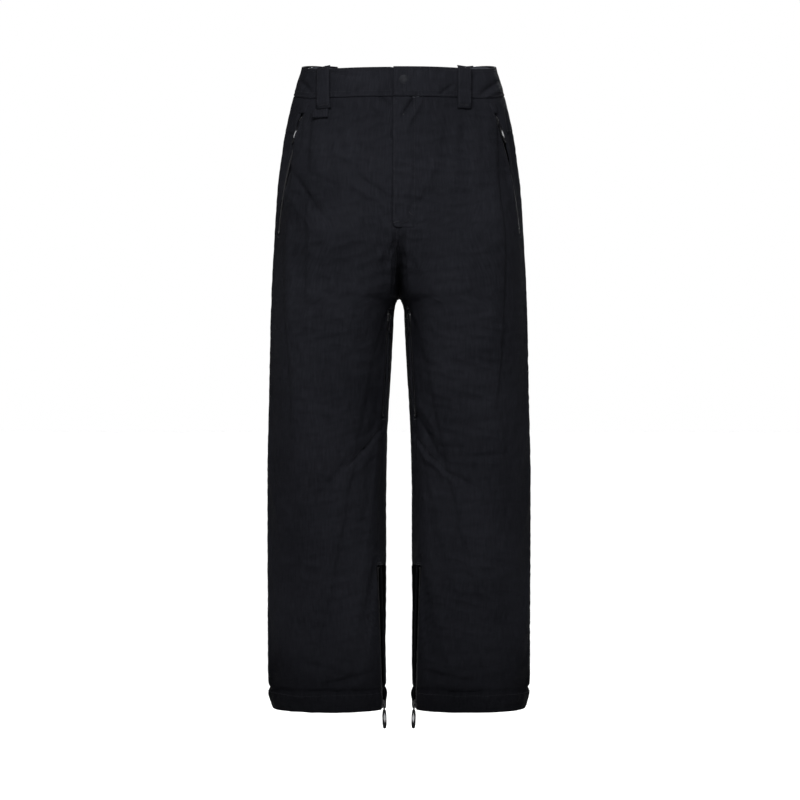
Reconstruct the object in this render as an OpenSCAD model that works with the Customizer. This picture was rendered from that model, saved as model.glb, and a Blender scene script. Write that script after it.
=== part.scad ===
// Insulated ski pants, hanging from the waist with both legs straight.
// Front faces -Y, +X is the wearer's left, and z = 0 is the front edge of the waistband.

/* [Garment] */
// Length from the front waist edge to the hem
side_length = 1035; // [1005:5:1065]
// Girth of the garment against the base size
girth = 1.0; // [0.97:0.01:1.03]
// How full each cross-section is (1 = ellipse, smaller = squarer)
fullness = 0.9; // [0.86:0.01:0.96]
// Rise of the back waist edge over the front one
back_rise = 22; // [16:1:28]

/* [Fabric] */
// Thickness of the padded outer shell
shell_t = 3; // [2.4:0.1:3.2]
// Thickness of the lining
lining_t = 1.2; // [0.8:0.1:1.6]
// Depth of the lining below the outer face
lining_depth = 14; // [13:0.5:16]
// Thickness of straps, flaps and patches
strap_t = 1.6; // [1.2:0.1:1.8]
// Sewing gap between neighbouring pieces
seam_gap = 0.4; // [0.3:0.05:0.6]

/* [Waistband] */
// Height of the waistband
band_h = 47.5; // [44:0.5:50]
// Width of a belt loop
loop_w = 24; // [20:1:28]
// Free depth inside a belt loop
loop_depth = 5.2; // [4.8:0.1:6]
// Overlap of the waistband end past the centre line
tab_overlap = 9; // [7:0.5:11]
// Diameter of the snap cap
snap_d = 16; // [14:0.5:17]

/* [Zips] */
// Half width of the opening that a zip lies in
zip_slot = 6.4; // [6:0.1:6.8]
// Width of the zip's coil
coil_w = 4.6; // [4:0.1:5]
// Width of the whole zip tape
tape_w = 24; // [20:1:26]
// Width of the tape on the leg and vent zips
narrow_tape = 16; // [14.5:0.5:18]
// Width of a zip slider
slider_w = 9; // [8.6:0.1:9.6]
// Length of a zip slider
slider_l = 14; // [12:0.5:16]
// Length of a pull tab
tab_l = 26; // [22:1:28]
// Width of a pull tab
tab_w = 8; // [7:0.5:9]

/* [Hidden] */

// The block is drawn for a hem at -1035; rows are heights on that block.
base_length = 1035;
len_k = side_length / base_length;
crotch = -366;
front_fly_rise = 104;
back_seam_rise = 150;
inseam_y = 10;
thigh_end = -596;
shin_start = -786;
hem = -1035;
yoke_bottom = -104;
eps_a = 0.01;
eps_z = 2;

// Colours
shell_c = [0.13, 0.13, 0.15];
trim_c = [0.09, 0.09, 0.11];
lining_c = [0.3, 0.31, 0.34];
metal_c = [0.25, 0.25, 0.27];
pull_c = [0.16, 0.16, 0.18];

// Half width at the outseam, half width at the inseam, and depths in front and behind
OUTER = [
  [-1035, 209], [-1026, 212], [-1010, 214], [-632, 214], [-582, 212.6], [-509, 211],
  [-411, 209.2], [-338, 207], [-264, 202.8], [-191, 198.8], [-142, 192.7], [-117, 189.4],
  [-93, 185.3], [-60, 178], [-39, 173.1], [-14, 166.6], [5, 160], [22, 157]
];
INNER = [
  [-681, 21.2], [-632, 20.2], [-583, 18.8], [-534, 16.3], [-485, 13.2], [-436, 10.6],
  [-387, 8.2], [-378, 6.4], [-372, 4.6], [-368, 2.6], [-366, 0]
];
FRONT = [
  [-1035, 62], [-900, 73], [-790, 82], [-680, 93], [-583, 101], [-509, 109], [-411, 119],
  [-338, 124], [-262, 126], [0, 94], [22, 91.3]
];
BACK = [
  [-1035, 84], [-900, 86], [-680, 84], [-583, 94], [-509, 106], [-411, 128], [-338, 150],
  [-270, 163], [-220, 165], [-160, 155], [-100, 136], [-49, 117], [0, 106], [22, 103]
];
SIDE = [[-1035, 10], [-790, 0], [-680, -4], [-583, -2], [-411, 4], [-338, 8], [-190, 12], [22, 4]];
CENTRE = [
  [-1035, 117.6], [-790, 117.6], [-582, 115.8], [-411, 109.5], [-338, 104], [-190, 98],
  [-49, 90], [22, 86]
];

function clamp01(t) = min(1, max(0, t));
function ease(t) = let (c = clamp01(t)) c * c * (3 - 2 * c);
function unit(v) = v / norm(v);
function full(v) = pow(max(v, 0), fullness);

// Cross-section of both hips together: a runs 0 (front centre), 2 (side), 4 (back centre).
function hip_ring(a, xo, yf, yb, yc) =
  a <= 2
    ? [xo * full(sin(45 * a)), yc - (yc + yf) * full(cos(45 * a))]
    : [xo * full(cos(45 * a - 90)), yc + (yb - yc) * full(sin(45 * a - 90))];

// Quarter of a leg's cross-section between the inseam and the leg's front or back middle.
function inner_quarter(u, xi, xc, yi, ye, k) =
  let (
    flat = [xi + (xc - xi) * u, yi + (ye - yi) * pow(sin(90 * u), 2)],
    round = [xc - (xc - xi) * full(cos(90 * u)), yi + (ye - yi) * full(sin(90 * u))]
  )
  flat + (round - flat) * k;

// Cross-section of one leg with its rise curve, in the same turn a = 0..4.
function leg_ring(a, z, xo, yf, yb, yc) =
  let (
    xi = z >= crotch ? 0 : lookup(z, INNER),
    xc = lookup(z, CENTRE),
    hf = clamp01((z - crotch) / front_fly_rise),
    hb = clamp01((z - crotch) / back_seam_rise),
    yif = inseam_y - (yf + inseam_y) * sqrt(1 - pow(1 - hf, 2)),
    yib = inseam_y + (yb - inseam_y) * sqrt(1 - pow(1 - hb, 2)),
    k = ease(1 - (z - crotch) / 80)
  )
  a <= 1 ? inner_quarter(a, xi, xc, yif, -yf, k)
  : a <= 2 ? [xc + (xo - xc) * full(sin(90 * a - 90)), yc - (yc + yf) * full(cos(90 * a - 90))]
  : a <= 3 ? [xc + (xo - xc) * full(cos(90 * a - 180)), yc + (yb - yc) * full(sin(90 * a - 180))]
  : inner_quarter(4 - a, xi, xc, yib, yb, k);

// Point on the left half of the garment's outer face, for a turn a and a height z.
function half_point(a, z) =
  let (
    xo = lookup(z, OUTER), yf = lookup(z, FRONT), yb = lookup(z, BACK), yc = lookup(z, SIDE),
    m = ease((-z - 150) / 150),
    hip = hip_ring(a, xo, yf, yb, yc),
    leg = leg_ring(a, z, xo, yf, yb, yc),
    p = hip + (leg - hip) * m
  )
  [girth * p.x, girth * p.y, len_k * z];

// Above the crotch the turn mirrors past the centre; below it goes round the leg.
function shape_point(a, z) =
  z < crotch ? half_point((a % 4 + 4) % 4, z)
  : a < 0 ? let (p = half_point(-a, z)) [-p.x, p.y, p.z]
  : a > 4 ? let (p = half_point(8 - a, z)) [-p.x, p.y, p.z]
  : half_point(a, z);

// The waist edge rises towards the back, and the rows below follow it less and less.
function turn(a) = a > 4 ? 8 - a : abs(a);
function rise(a, row) = back_rise * ease((turn(a) - 0.85) / 2) * clamp01((row + 230) / 180);
function skin(a, row) = shape_point(a, row + rise(a, row));
function outward(a, row) =
  unit(cross(skin(a, row - eps_z) - skin(a, row + eps_z), skin(a + eps_a, row) - skin(a - eps_a, row)));
function at(a, row, off) = skin(a, row) + off * outward(a, row);
function left_side(p) = [max(p.x, seam_gap / 2), p.y, p.z];
// Turns per millimetre at a place
function per_mm(a, row) = 2 * eps_a / norm(skin(a + eps_a, row) - skin(a - eps_a, row));
// Turn at which the front face is x from the centre plane
function turn_at(x, row, lo = 0, hi = 1.2, n = 12) =
  n == 0 ? (lo + hi) / 2
  : let (mid = (lo + hi) / 2, more = skin(mid, row).x < x)
    more ? turn_at(x, row, mid, hi, n - 1) : turn_at(x, row, lo, mid, n - 1);
// Turn whose bearing from the hip's middle is that of a point
function bearing(p) = atan2(p.x, -p.y);
function turn_to(p, row, lo = 0.2, hi = 3.6, n = 12) =
  n == 0 ? (lo + hi) / 2
  : let (mid = (lo + hi) / 2, more = bearing(skin(mid, row)) < bearing(p))
    more ? turn_to(p, row, mid, hi, n - 1) : turn_to(p, row, lo, mid, n - 1);

// ---- solids from grids of points ----

// Closed solid between an outer and an inner grid of points, rows from the top down.
module slab(outer, inner, ring = false) {
  nr = len(outer) - 1;
  nc = len(outer[0]);
  last = ring ? nc - 1 : nc - 2;
  size = (nr + 1) * nc;
  function o(r, c) = r * nc + c % nc;
  function i(r, c) = size + r * nc + c % nc;
  both = [for (r = [0:nr - 1], c = [0:last]) each [
    [o(r, c), o(r, c + 1), o(r + 1, c)], [o(r, c + 1), o(r + 1, c + 1), o(r + 1, c)],
    [i(r, c), i(r + 1, c), i(r, c + 1)], [i(r, c + 1), i(r + 1, c), i(r + 1, c + 1)]
  ]];
  rims = [for (c = [0:last]) each [
    [o(0, c + 1), o(0, c), i(0, c)], [o(0, c + 1), i(0, c), i(0, c + 1)],
    [o(nr, c), o(nr, c + 1), i(nr, c)], [o(nr, c + 1), i(nr, c + 1), i(nr, c)]
  ]];
  sides = ring ? [] : [for (r = [0:nr - 1]) each [
    [o(r, 0), o(r + 1, 0), i(r, 0)], [o(r + 1, 0), i(r + 1, 0), i(r, 0)],
    [o(r + 1, nc - 1), o(r, nc - 1), i(r, nc - 1)],
    [o(r + 1, nc - 1), i(r, nc - 1), i(r + 1, nc - 1)]
  ]];
  polyhedron([for (g = [outer, inner]) each [for (r = g) each r]], concat(both, rims, sides));
}

// Rows spread evenly between two heights
function spread(from, to, n) = [for (k = [0:n]) from + (to - from) * k / n];

// Panel on one half: turns from lo(row) to hi(row), outer face at off, thickness t.
module panel(rows, cols, lo, hi, off = 0, t = shell_t) {
  function grid(d) = [for (row = rows)
    let (a0 = lo(row), a1 = hi(row))
    [for (k = [0:cols]) left_side(at(a0 + (a1 - a0) * k / cols, row, d))]];
  slab(grid(off), grid(off - t));
}

// Panel that may cross the back centre, with the turn running on to 8 on the right side
module wrap(rows, cols, lo, hi, off = 0, t = shell_t) {
  function grid(d) = [for (row = rows)
    let (a0 = lo(row), a1 = hi(row))
    [for (k = [0:cols]) at(a0 + (a1 - a0) * k / cols, row, d)]];
  slab(grid(off), grid(off - t));
}

// Closed tube round one leg
module tube(rows, cols, off, t) {
  function grid(d) = [for (row = rows) [for (k = [0:cols - 1]) at(4 * k / cols, row, d)]];
  slab(grid(off), grid(off - t), ring = true);
}

module right_hand() {
  mirror([1, 0, 0]) children();
}

// ---- seam lines ----

// Slanted hand pocket: its zip is an arc through three places on the hip.
pocket_rows = [-60, -162, -264];
pocket_turns = [1.24, 1.51, 1.76];
P0 = skin(pocket_turns[0], pocket_rows[0]);
P1 = skin(pocket_turns[1], pocket_rows[1]);
P2 = skin(pocket_turns[2], pocket_rows[2]);
pu = P1 - P0;
pv = P2 - P0;
pn = cross(pu, pv);
pocket_c = P0
  + (cross(pn, pu) * (pv * pv) + cross(pv, pn) * (pu * pu)) / (2 * pn * pn);
pocket_r = norm(P0 - pocket_c);
pocket_n = unit(pn);
pocket_e1 = unit(P0 - pocket_c);
pocket_e2 = cross(pocket_n, pocket_e1);
pocket_sweep = 2 * asin(norm(pv) / 2 / pocket_r);
function pocket_arc(t) = pocket_c + pocket_r * (cos(t) * pocket_e1 + sin(t) * pocket_e2);
function pocket_at(z) =
  let (
    h = norm([pocket_e1.z, pocket_e2.z]),
    mid = atan2(pocket_e2.z, pocket_e1.z),
    d = acos(max(-1, min(1, (z - pocket_c.z) / (pocket_r * h))))
  )
  pocket_arc(abs(mid + d) < abs(mid - d) ? mid + d : mid - d);
function pocket_line(row) =
  row < pocket_rows[2]
    ? pocket_turns[2] + (2 - pocket_turns[2]) * clamp01((pocket_rows[2] - row) / 70)
    : turn_to(pocket_at(row * len_k), row);

// Inner leg seam line in front of the inseam, and the gusset's seam behind it
vent_turn = 0.25;
leg_zip_turn = 0.32;
leg_zip_low = 0.2;
// The leg zip leans in towards the inside of the leg as it nears the hem.
function leg_zip_line(row) =
  leg_zip_turn + (leg_zip_low - leg_zip_turn) * clamp01((leg_zip_top - row) / (leg_zip_top - hem));
function inner_line(row) = vent_turn * clamp01((crotch - row) / 16);
function gusset_back(row) = 0.4 * clamp01((crotch - row) / 34);

vent_top = -386;
vent_end = -560;
fly_top = -50;
fly_end = -250;
leg_zip_top = -800;
zip_x = 6;

// Half of the opening between two panels, in turns, at a row between a zip's ends
function gap_turn(a, row, top, end) =
  per_mm(a, row) * (row <= top && row >= end ? zip_slot : seam_gap / 2);
function fly_edge(row, x) = row >= fly_end ? turn_at(x, row) : 0;

hip_rows = [
  -48, -60, -66, -90, -114, -138, -162, -188, -214, -238, -250, -254, -264, -268, -284,
  -300, -320, -340, -354, -366
];
thigh_rows = [-372, -380, -385, -386, -412, -440, -470, -500, -530, -560, -561, -578, thigh_end];
front_rows = concat(hip_rows, thigh_rows);
back_rows = concat([yoke_bottom - seam_gap], [for (r = hip_rows) if (r < yoke_bottom - 1) r],
                   thigh_rows);
shin_rows = [shin_start, -799, -800, -840, -880, -920, -960, -1000, -1020, hem];

function front_inner(row, x) =
  row >= crotch ? fly_edge(row, x)
  : inner_line(row) + gap_turn(inner_line(row), row, vent_top, vent_end);
function front_outer(row) =
  pocket_line(row) - gap_turn(pocket_line(row), row, pocket_rows[0], pocket_rows[2]);
function back_outer(row) =
  pocket_line(row) + gap_turn(pocket_line(row), row, pocket_rows[0], pocket_rows[2]);

// ---- shell ----

module front_panel(edge_x) {
  panel(front_rows, 12, function(row) front_inner(row, edge_x), function(row) front_outer(row));
}
module front_panel_left() { color(shell_c) front_panel(zip_x + 8); }
module front_panel_right() { color(shell_c) right_hand() front_panel(8 - zip_x); }

module back_panel() {
  panel(back_rows, 12, function(row) back_outer(row),
        function(row) 4 - gusset_back(row) - per_mm(3.7, row) * seam_gap);
}
module back_panel_left() { color(shell_c) back_panel(); }
module back_panel_right() { color(shell_c) right_hand() back_panel(); }

module back_yoke() {
  rows = [-48, -60, -66, -85, yoke_bottom];
  color(shell_c) wrap(rows, 30, function(row) back_outer(row), function(row) 8 - back_outer(row));
}

module gusset() {
  panel(thigh_rows, 3, function(row) -gusset_back(row),
        function(row) inner_line(row) - gap_turn(inner_line(row), row, vent_top, vent_end));
}
module gusset_left() { color(shell_c) gusset(); }
module gusset_right() { color(shell_c) right_hand() gusset(); }

module knee_sleeve() {
  tube(spread(thigh_end - seam_gap, shin_start + seam_gap, 6), 24, 0, shell_t);
}
module knee_sleeve_left() { color(shell_c) knee_sleeve(); }
module knee_sleeve_right() { color(shell_c) right_hand() knee_sleeve(); }

// Below the knee the front and back panels meet at the outseam and at the leg zip.
module shin_shell() {
  slit = function(row) gap_turn(leg_zip_line(row), row, leg_zip_top, hem);
  panel(shin_rows, 10, function(row) leg_zip_line(row) + slit(row),
        function(row) 2 - per_mm(2, row) * seam_gap / 2);
  panel(shin_rows, 12, function(row) 2 + per_mm(2, row) * seam_gap / 2,
        function(row) 4 + leg_zip_line(row) - slit(row));
}
module shin_shell_left() { color(shell_c) shin_shell(); }
module shin_shell_right() { color(shell_c) right_hand() shin_shell(); }

// Tougher patch over the inside of the ankle
module scuff_guard() {
  panel(spread(-806, hem, 5), 4, function(row) -0.34,
        function(row) leg_zip_line(row) - 0.012 - zip_slot * per_mm(leg_zip_line(row), row),
        2.2, 1);
}
module scuff_guard_left() { color(trim_c) scuff_guard(); }
module scuff_guard_right() { color(trim_c) right_hand() scuff_guard(); }

// ---- lining and cuffs ----

module lining() {
  rows = [-56, -90, -130, -170, -210, -250, -290, -330, -366, -400, -450, -520, thigh_end];
  panel(rows, 20, function(row) 0, function(row) 4 - seam_gap * per_mm(3.9, row),
        -lining_depth, lining_t);
}
module lining_left() { color(lining_c) lining(); }
module lining_right() { color(lining_c) right_hand() lining(); }

module shin_lining() {
  tube(spread(shin_start, hem + 30, 5), 22, -lining_depth, lining_t);
}
module shin_lining_left() { color(lining_c) shin_lining(); }
module shin_lining_right() { color(lining_c) right_hand() shin_lining(); }

// Snow cuff inside the hem, with its gripper edge pulled in round the boot
module gaiter() {
  rows = spread(-860, hem + 8, 5);
  function in(row) = lining_depth + lining_t + 3 + 9 * ease((-860 - row) / 170);
  function grid(d) = [for (row = rows) [for (k = [0:21]) at(4 * k / 22, row, -in(row) - d)]];
  slab(grid(0), grid(1), ring = true);
}
module gaiter_left() { color(trim_c) gaiter(); }
module gaiter_right() { color(trim_c) right_hand() gaiter(); }

// ---- waistband ----

tab_hinge_x = 31;
band_rows = [0, -12, -24, -36, -band_h];

function tab_end(row) = turn_at(tab_overlap, row);
module waistband() {
  color(shell_c)
    wrap(band_rows, 44, function(row) turn_at(tab_hinge_x + seam_gap, row),
         function(row) 8 - turn_at(tab_overlap + 1, row), 1.2, shell_t);
}

// Shorter end that passes under the snap
module waist_underlap() {
  color(shell_c)
    wrap([-1, -24, -band_h + 1], 8, function(row) -turn_at(tab_overlap, row),
         function(row) turn_at(tab_hinge_x - 3, row), -5, 2);
}
module waistband_facing() {
  color(lining_c)
    wrap([-2, -24, -band_h - 4], 40, function(row) turn_at(tab_hinge_x + 2, row),
         function(row) 8 - turn_at(tab_overlap + 2, row), -7.6, 1.4);
}

// Loop standing off the band: a flat strip bent in at its two ends
module belt_loop(middle) {
  rows = [2, 0, -5, -32, -59, -64, -66];
  out = [3, loop_depth + 3, loop_depth + 3, loop_depth + 3, loop_depth + 3, loop_depth + 3, 3];
  under = [1.6, 1.6, loop_depth + 1.6, loop_depth + 1.6, loop_depth + 1.6, 1.6, 1.6];
  half = loop_w / 2;
  function grid(d) = [for (k = [0:len(rows) - 1])
    let (a = middle(rows[k]), step = half * per_mm(a, -30))
    [for (s = [-1, 0, 1]) at(a + s * step, rows[k], d[k])]];
  slab(grid(out), grid(under));
}
// The front pair hangs upright, the right one set a little further round
left_loop_x = 102.5;
right_loop_x = 118.5;
module belt_loop_left() { color(shell_c) belt_loop(function(row) turn_at(left_loop_x, row)); }
module belt_loop_right() {
  color(shell_c) right_hand() belt_loop(function(row) turn_at(right_loop_x, row));
}
module belt_loops_back() {
  color(shell_c) for (a = [3.05, 4, 4.95]) belt_loop(function(row) a);
}

// Folded tab for a ticket or a lanyard, below the right front loop
ticket_w = 28;
module ticket_loop() {
  a = turn_at(right_loop_x + 6, -73);
  w = ticket_w / 2 * per_mm(a, -73);
  color(trim_c) right_hand()
    wrap([-67, -73, -80], 4, function(row) a - w, function(row) a + w, 3.4, strap_t);
}

// Two narrow ribbon loops inside the back of the band
module hang_loops() {
  color(trim_c) for (a = [3.3, 4.7]) {
    w = 3 * per_mm(a, -30);
    wrap([-14, -30, -46], 1, function(row) a - w, function(row) a + w, -9.6, strap_t);
  }
}

// ---- hardware frames ----

// Moves a piece drawn with +X across the zip, -Y along it (downwards) and +Z outwards.
module place(p, down, out) {
  y = -unit(down);
  z = unit(out - (out * y) * y);
  x = cross(y, z);
  multmatrix([[x.x, y.x, z.x, p.x], [x.y, y.y, z.y, p.y], [x.z, y.z, z.z, p.z], [0, 0, 0, 1]]) children();
}

tape_top = -2.4;
tape_t = 0.6;
coil_top = 2;
bail_h = 2.4;
plate_z = 2.4;
plate_t = 1.2;
pin_z = plate_z + plate_t + 1.1;
pin_r = 0.5;

// Slider: top plate with rounded nose, two side flanges beside the coil, and a bail
module slider() {
  color(metal_c) difference() {
    union() {
      translate([0, 0, plate_z]) linear_extrude(plate_t) slider_outline();
      translate([0, 0, 0.5]) linear_extrude(plate_z - 0.5 + 0.01) slider_outline();
    }
    translate([-coil_w / 2 - 0.5, -slider_l, -1]) cube([coil_w + 1, 2 * slider_l, plate_z + 1]);
  }
  color(metal_c) difference() {
    translate([-1.1, -3.6, plate_z + plate_t - 0.2]) cube([2.2, 7.2, bail_h + 0.2]);
    translate([-2, -2.6, plate_z + plate_t]) cube([4, 5.2, bail_h - 0.8]);
  }
}
module slider_outline() {
  w = slider_w / 2;
  polygon([
    [-w * 0.72, slider_l * 0.42], [w * 0.72, slider_l * 0.42], [w, slider_l * 0.18],
    [w * 0.86, -slider_l * 0.5], [-w * 0.86, -slider_l * 0.5], [-w, slider_l * 0.18]
  ]);
}

// Pull: a cord loop round the bail and a flat moulded tab on its end
loop_l = 13;
pin_y = -1.4;
module puller(tab = tab_l, cord = loop_l, twist = 0) {
  low = twist == 0 ? 1.6 : 0.8;
  color(trim_c) {
    translate([0, pin_y, pin_z]) rotate([0, 90, 0]) cylinder(r = pin_r, h = 5, center = true, $fn = 24);
    for (s = [-1, 1])
      hull() {
        translate([s * 2.2, pin_y, pin_z]) sphere(r = 0.7, $fn = 16);
        translate([s * low, pin_y - cord, pin_z]) sphere(r = 0.7, $fn = 16);
      }
  }
  color(pull_c) translate([0, pin_y - cord, pin_z]) rotate([0, twist, 0]) translate([0, 0, -1])
    linear_extrude(2) polygon([
    [-2.6, 0.6], [2.6, 0.6], [tab_w / 2, -tab * 0.3], [tab_w / 2, -tab * 0.75],
    [tab_w * 0.3, -tab], [-tab_w * 0.3, -tab], [-tab_w / 2, -tab * 0.75], [-tab_w / 2, -tab * 0.3]
  ]);
}

// ---- hand pockets ----

// Frame of the pocket zip at an angle along its arc
function pocket_down(t) = -sin(t) * pocket_e1 + cos(t) * pocket_e2;
function pocket_radial(t) = cos(t) * pocket_e1 + sin(t) * pocket_e2;
pocket_mid = let (p = pocket_arc(pocket_sweep / 2)) outward(turn_to(p, p.z / len_k), p.z / len_k);
pocket_lean = [pocket_mid * pocket_radial(pocket_sweep / 2), pocket_mid * pocket_n];
function pocket_out(t) = unit(pocket_lean[0] * pocket_radial(t) + pocket_lean[1] * pocket_n);
zip_sink = 3.2;
pocket_sink = 4;
// Point across the zip from its arc, off above or below the coil's underside
function pocket_zip_point(t, across, off) =
  let (d = pocket_down(t), n = pocket_out(t))
  pocket_arc(t) + across * cross(n, d) + (off - pocket_sink) * n;

module pocket_strip(half, hi, lo, from, to) {
  ts = spread(from, to, 12);
  function grid(d) = [for (t = ts) [for (s = [-1, 1]) pocket_zip_point(t, s * half, d)]];
  slab(grid(hi), grid(lo));
}
module pocket_zip() {
  pocket_strip(narrow_tape / 2, tape_top, tape_top - tape_t, 0.4, pocket_sweep - 0.2);
  pocket_strip(coil_w / 2, coil_top, tape_top + 0.1, 0.4, pocket_sweep - 0.2);
}
module pocket_zip_left() { color(trim_c) pocket_zip(); }
module pocket_zip_right() { color(trim_c) right_hand() pocket_zip(); }

slider_start = 2.8;
module on_pocket(t = slider_start) {
  p = pocket_zip_point(t, 0, 0);
  place(p, pocket_down(t), pocket_out(t)) children();
}
module pocket_slider_left() { on_pocket() slider(); }
module pocket_slider_right() { right_hand() on_pocket() slider(); }
module pocket_puller_left() { on_pocket() puller(); }
module pocket_puller_right() { right_hand() on_pocket() puller(); }

// Small triangular patch over the zip's top end
module pocket_garage() {
  w = 8 * per_mm(pocket_turns[0], -64);
  wrap([-57, -60, -64, -68, -71], 2, function(row) pocket_line(row) - w,
       function(row) pocket_line(row) + w, strap_t + 0.3, strap_t);
}
module pocket_garages() {
  color(trim_c) {
    pocket_garage();
    right_hand() pocket_garage();
  }
}

// Flat bags hanging inside the hand pockets
module pocket_bag() {
  panel(spread(-76, -290, 6), 5, function(row) 0.95, function(row) pocket_line(row) + 0.02, -9.8, 2.4);
}
module pocket_bags() {
  color(lining_c) {
    pocket_bag();
    right_hand() pocket_bag();
  }
}

// ---- straight zips ----

// Straight zip from p to q, its coil on the line, with the outward direction n
module straight_zip(p, q, n, tape = tape_w) {
  place(p, q - p, n) {
    l = norm(q - p);
    translate([-tape / 2, -l, tape_top - tape_t]) cube([tape, l, tape_t]);
    translate([-coil_w / 2, -l, tape_top + 0.1]) cube([coil_w, l, coil_top - tape_top - 0.1]);
  }
}
function sunk(a, row, n) = skin(a, row) - zip_sink * n;

// Inner thigh vents
vent_n = outward(vent_turn, (vent_top + vent_end) / 2);
VENT0 = sunk(vent_turn, vent_top - 1, vent_n);
VENT1 = sunk(vent_turn, vent_end + 1, vent_n);
vent_start = 10;
module on_vent() {
  d = unit(VENT1 - VENT0);
  place(VENT0 + vent_start * d, d, vent_n) children();
}
module vent_zip_left() { color(trim_c) straight_zip(VENT0, VENT1, vent_n, narrow_tape); }
module vent_zip_right() { color(trim_c) right_hand() straight_zip(VENT0, VENT1, vent_n, narrow_tape); }
module vent_slider_left() { on_vent() slider(); }
module vent_slider_right() { right_hand() on_vent() slider(); }
module vent_puller_left() { on_vent() puller(16, 8); }
module vent_puller_right() { right_hand() on_vent() puller(16, 8); }

// Lower leg zips: the slider is at the hem when closed
leg_n = outward((leg_zip_turn + leg_zip_low) / 2, (leg_zip_top + hem) / 2);
LEG0 = sunk(leg_zip_turn, leg_zip_top - 1, leg_n);
LEG1 = sunk(leg_zip_low, hem + 1, leg_n);
leg_start = 9;
module on_leg() {
  d = unit(LEG1 - LEG0);
  place(LEG1 - leg_start * d, d, leg_n) children();
}
module leg_zip_left() { color(trim_c) straight_zip(LEG0, LEG1, leg_n, narrow_tape); }
module leg_zip_right() { color(trim_c) right_hand() straight_zip(LEG0, LEG1, leg_n, narrow_tape); }
module leg_slider_left() { on_leg() slider(); }
module leg_slider_right() { right_hand() on_leg() slider(); }
// The tab hangs free below the hem and has turned on its cord to face forwards.
module leg_puller_left() { on_leg() puller(31, 9, 30); }
module leg_puller_right() { right_hand() on_leg() puller(31, 9, 30); }

// Folded gusset that lets the lower leg spread round a boot
module leg_gusset() {
  panel(spread(-806, hem + 2, 5), 4,
        function(row) leg_zip_line(row) - 22 * per_mm(leg_zip_line(row), row),
        function(row) leg_zip_line(row) + 22 * per_mm(leg_zip_line(row), row), -9.4, 2.2);
}
module leg_gusset_left() { color(trim_c) leg_gusset(); }
module leg_gusset_right() { color(trim_c) right_hand() leg_gusset(); }

// ---- fly ----

function fly_line(row, off) = let (p = skin(turn_at(zip_x, row), row)) [zip_x, p.y - off, p.z];
fly_sink = zip_sink + 2.6;
FLY0 = fly_line(fly_top - 2, -fly_sink);
FLY1 = fly_line(fly_end + 1, -fly_sink);
fly_n = [0, -1, 0];
module fly_zip() { color(trim_c) straight_zip(FLY0, FLY1, fly_n); }
module on_fly() {
  d = unit(FLY1 - FLY0);
  place(FLY0 + 11 * d, d, fly_n) children();
}
module fly_slider() { on_fly() slider(); }
// The tab lies flat on the slider, under the flap
module fly_puller() {
  on_fly() {
    color(metal_c) translate([-2, -19, pin_z - 0.9]) cube([4, 15, 0.9]);
  }
}
module fly_facing() {
  color(lining_c)
    wrap([-54, -120, -190, fly_end - 4], 4, function(row) -turn_at(10, row),
         function(row) turn_at(24, row), -10.4, 1.6);
}
flap_off = 3;
module fly_flap() {
  rows = concat([-band_h - 2.5], spread(-80, -230, 5), [-252, -258]);
  color(shell_c)
    wrap(rows, 5, function(row) -turn_at(row < -253 ? 4 : 10, row),
         function(row) turn_at(row < -253 ? 24 : 29, row), flap_off, 1.8);
}
module waist_tab() {
  color(shell_c)
    wrap(band_rows, 6, function(row) -turn_at(tab_overlap, row),
         function(row) turn_at(tab_hinge_x - 0.6, row), 1.2, 2);
}

// ---- snap ----

snap_row = -21;
snap_x = 8;
snap_p = let (p = skin(turn_at(snap_x, snap_row), snap_row)) [snap_x, p.y, p.z];
module on_snap() {
  place(snap_p, skin(0.05, snap_row - 10) - skin(0.05, snap_row + 10), outward(0.05, snap_row)) children();
}
// Low domed cap with a rolled rim, and its shank through the band
module snap_cap() {
  r = snap_d / 2;
  color(metal_c) on_snap() {
    translate([0, 0, 1.5]) rotate_extrude($fn = 64) polygon([
      [0, 0], [r - 0.6, 0], [r, 0.5], [r, 0.9], [r - 0.7, 1.4], [r * 0.55, 2.1], [0, 2.4]
    ]);
    translate([0, 0, -0.9]) cylinder(r = 1.4, h = 2.5, $fn = 32);
  }
}
module snap_socket() {
  color(metal_c) on_snap() translate([0, 0, -3.2]) difference() {
    cylinder(r = 6, h = 2.1, $fn = 64);
    translate([0, 0, -1]) cylinder(r = 3.4, h = 2.6, $fn = 48);
  }
}
module snap_stud() {
  color(metal_c) on_snap() {
    translate([0, 0, -4.9]) cylinder(r = 6, h = 0.8, $fn = 64);
    translate([0, 0, -4.2]) cylinder(r = 2.6, h = 2.2, $fn = 48);
  }
}

// ---- back pocket flaps ----

module back_flap() {
  wrap(spread(-128, -176, 3), 8, function(row) 2.95, function(row) 3.6, strap_t + 0.8, strap_t);
}
module back_flap_left() { color(shell_c) back_flap(); }
module back_flap_right() { color(shell_c) right_hand() back_flap(); }

waistband();
waist_underlap();
waistband_facing();
belt_loop_left();
belt_loop_right();
belt_loops_back();
ticket_loop();
front_panel_left();
front_panel_right();
back_panel_left();
back_panel_right();
back_yoke();
gusset_left();
gusset_right();
knee_sleeve_left();
knee_sleeve_right();
fly_facing();
fly_zip();
snap_stud();
pocket_zip_left();
pocket_zip_right();
pocket_garages();
pocket_bags();
vent_zip_left();
vent_zip_right();
lining_left();
lining_right();
hang_loops();
waist_tab();
fly_flap();
snap_cap();
snap_socket();
fly_slider();
fly_puller();
pocket_slider_left();
pocket_puller_left();
pocket_slider_right();
pocket_puller_right();
vent_slider_left();
vent_puller_left();
vent_slider_right();
vent_puller_right();
shin_shell_left();
shin_shell_right();
leg_zip_left();
leg_zip_right();
leg_gusset_left();
leg_gusset_right();
scuff_guard_left();
scuff_guard_right();
shin_lining_left();
shin_lining_right();
gaiter_left();
gaiter_right();
leg_slider_left();
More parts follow.
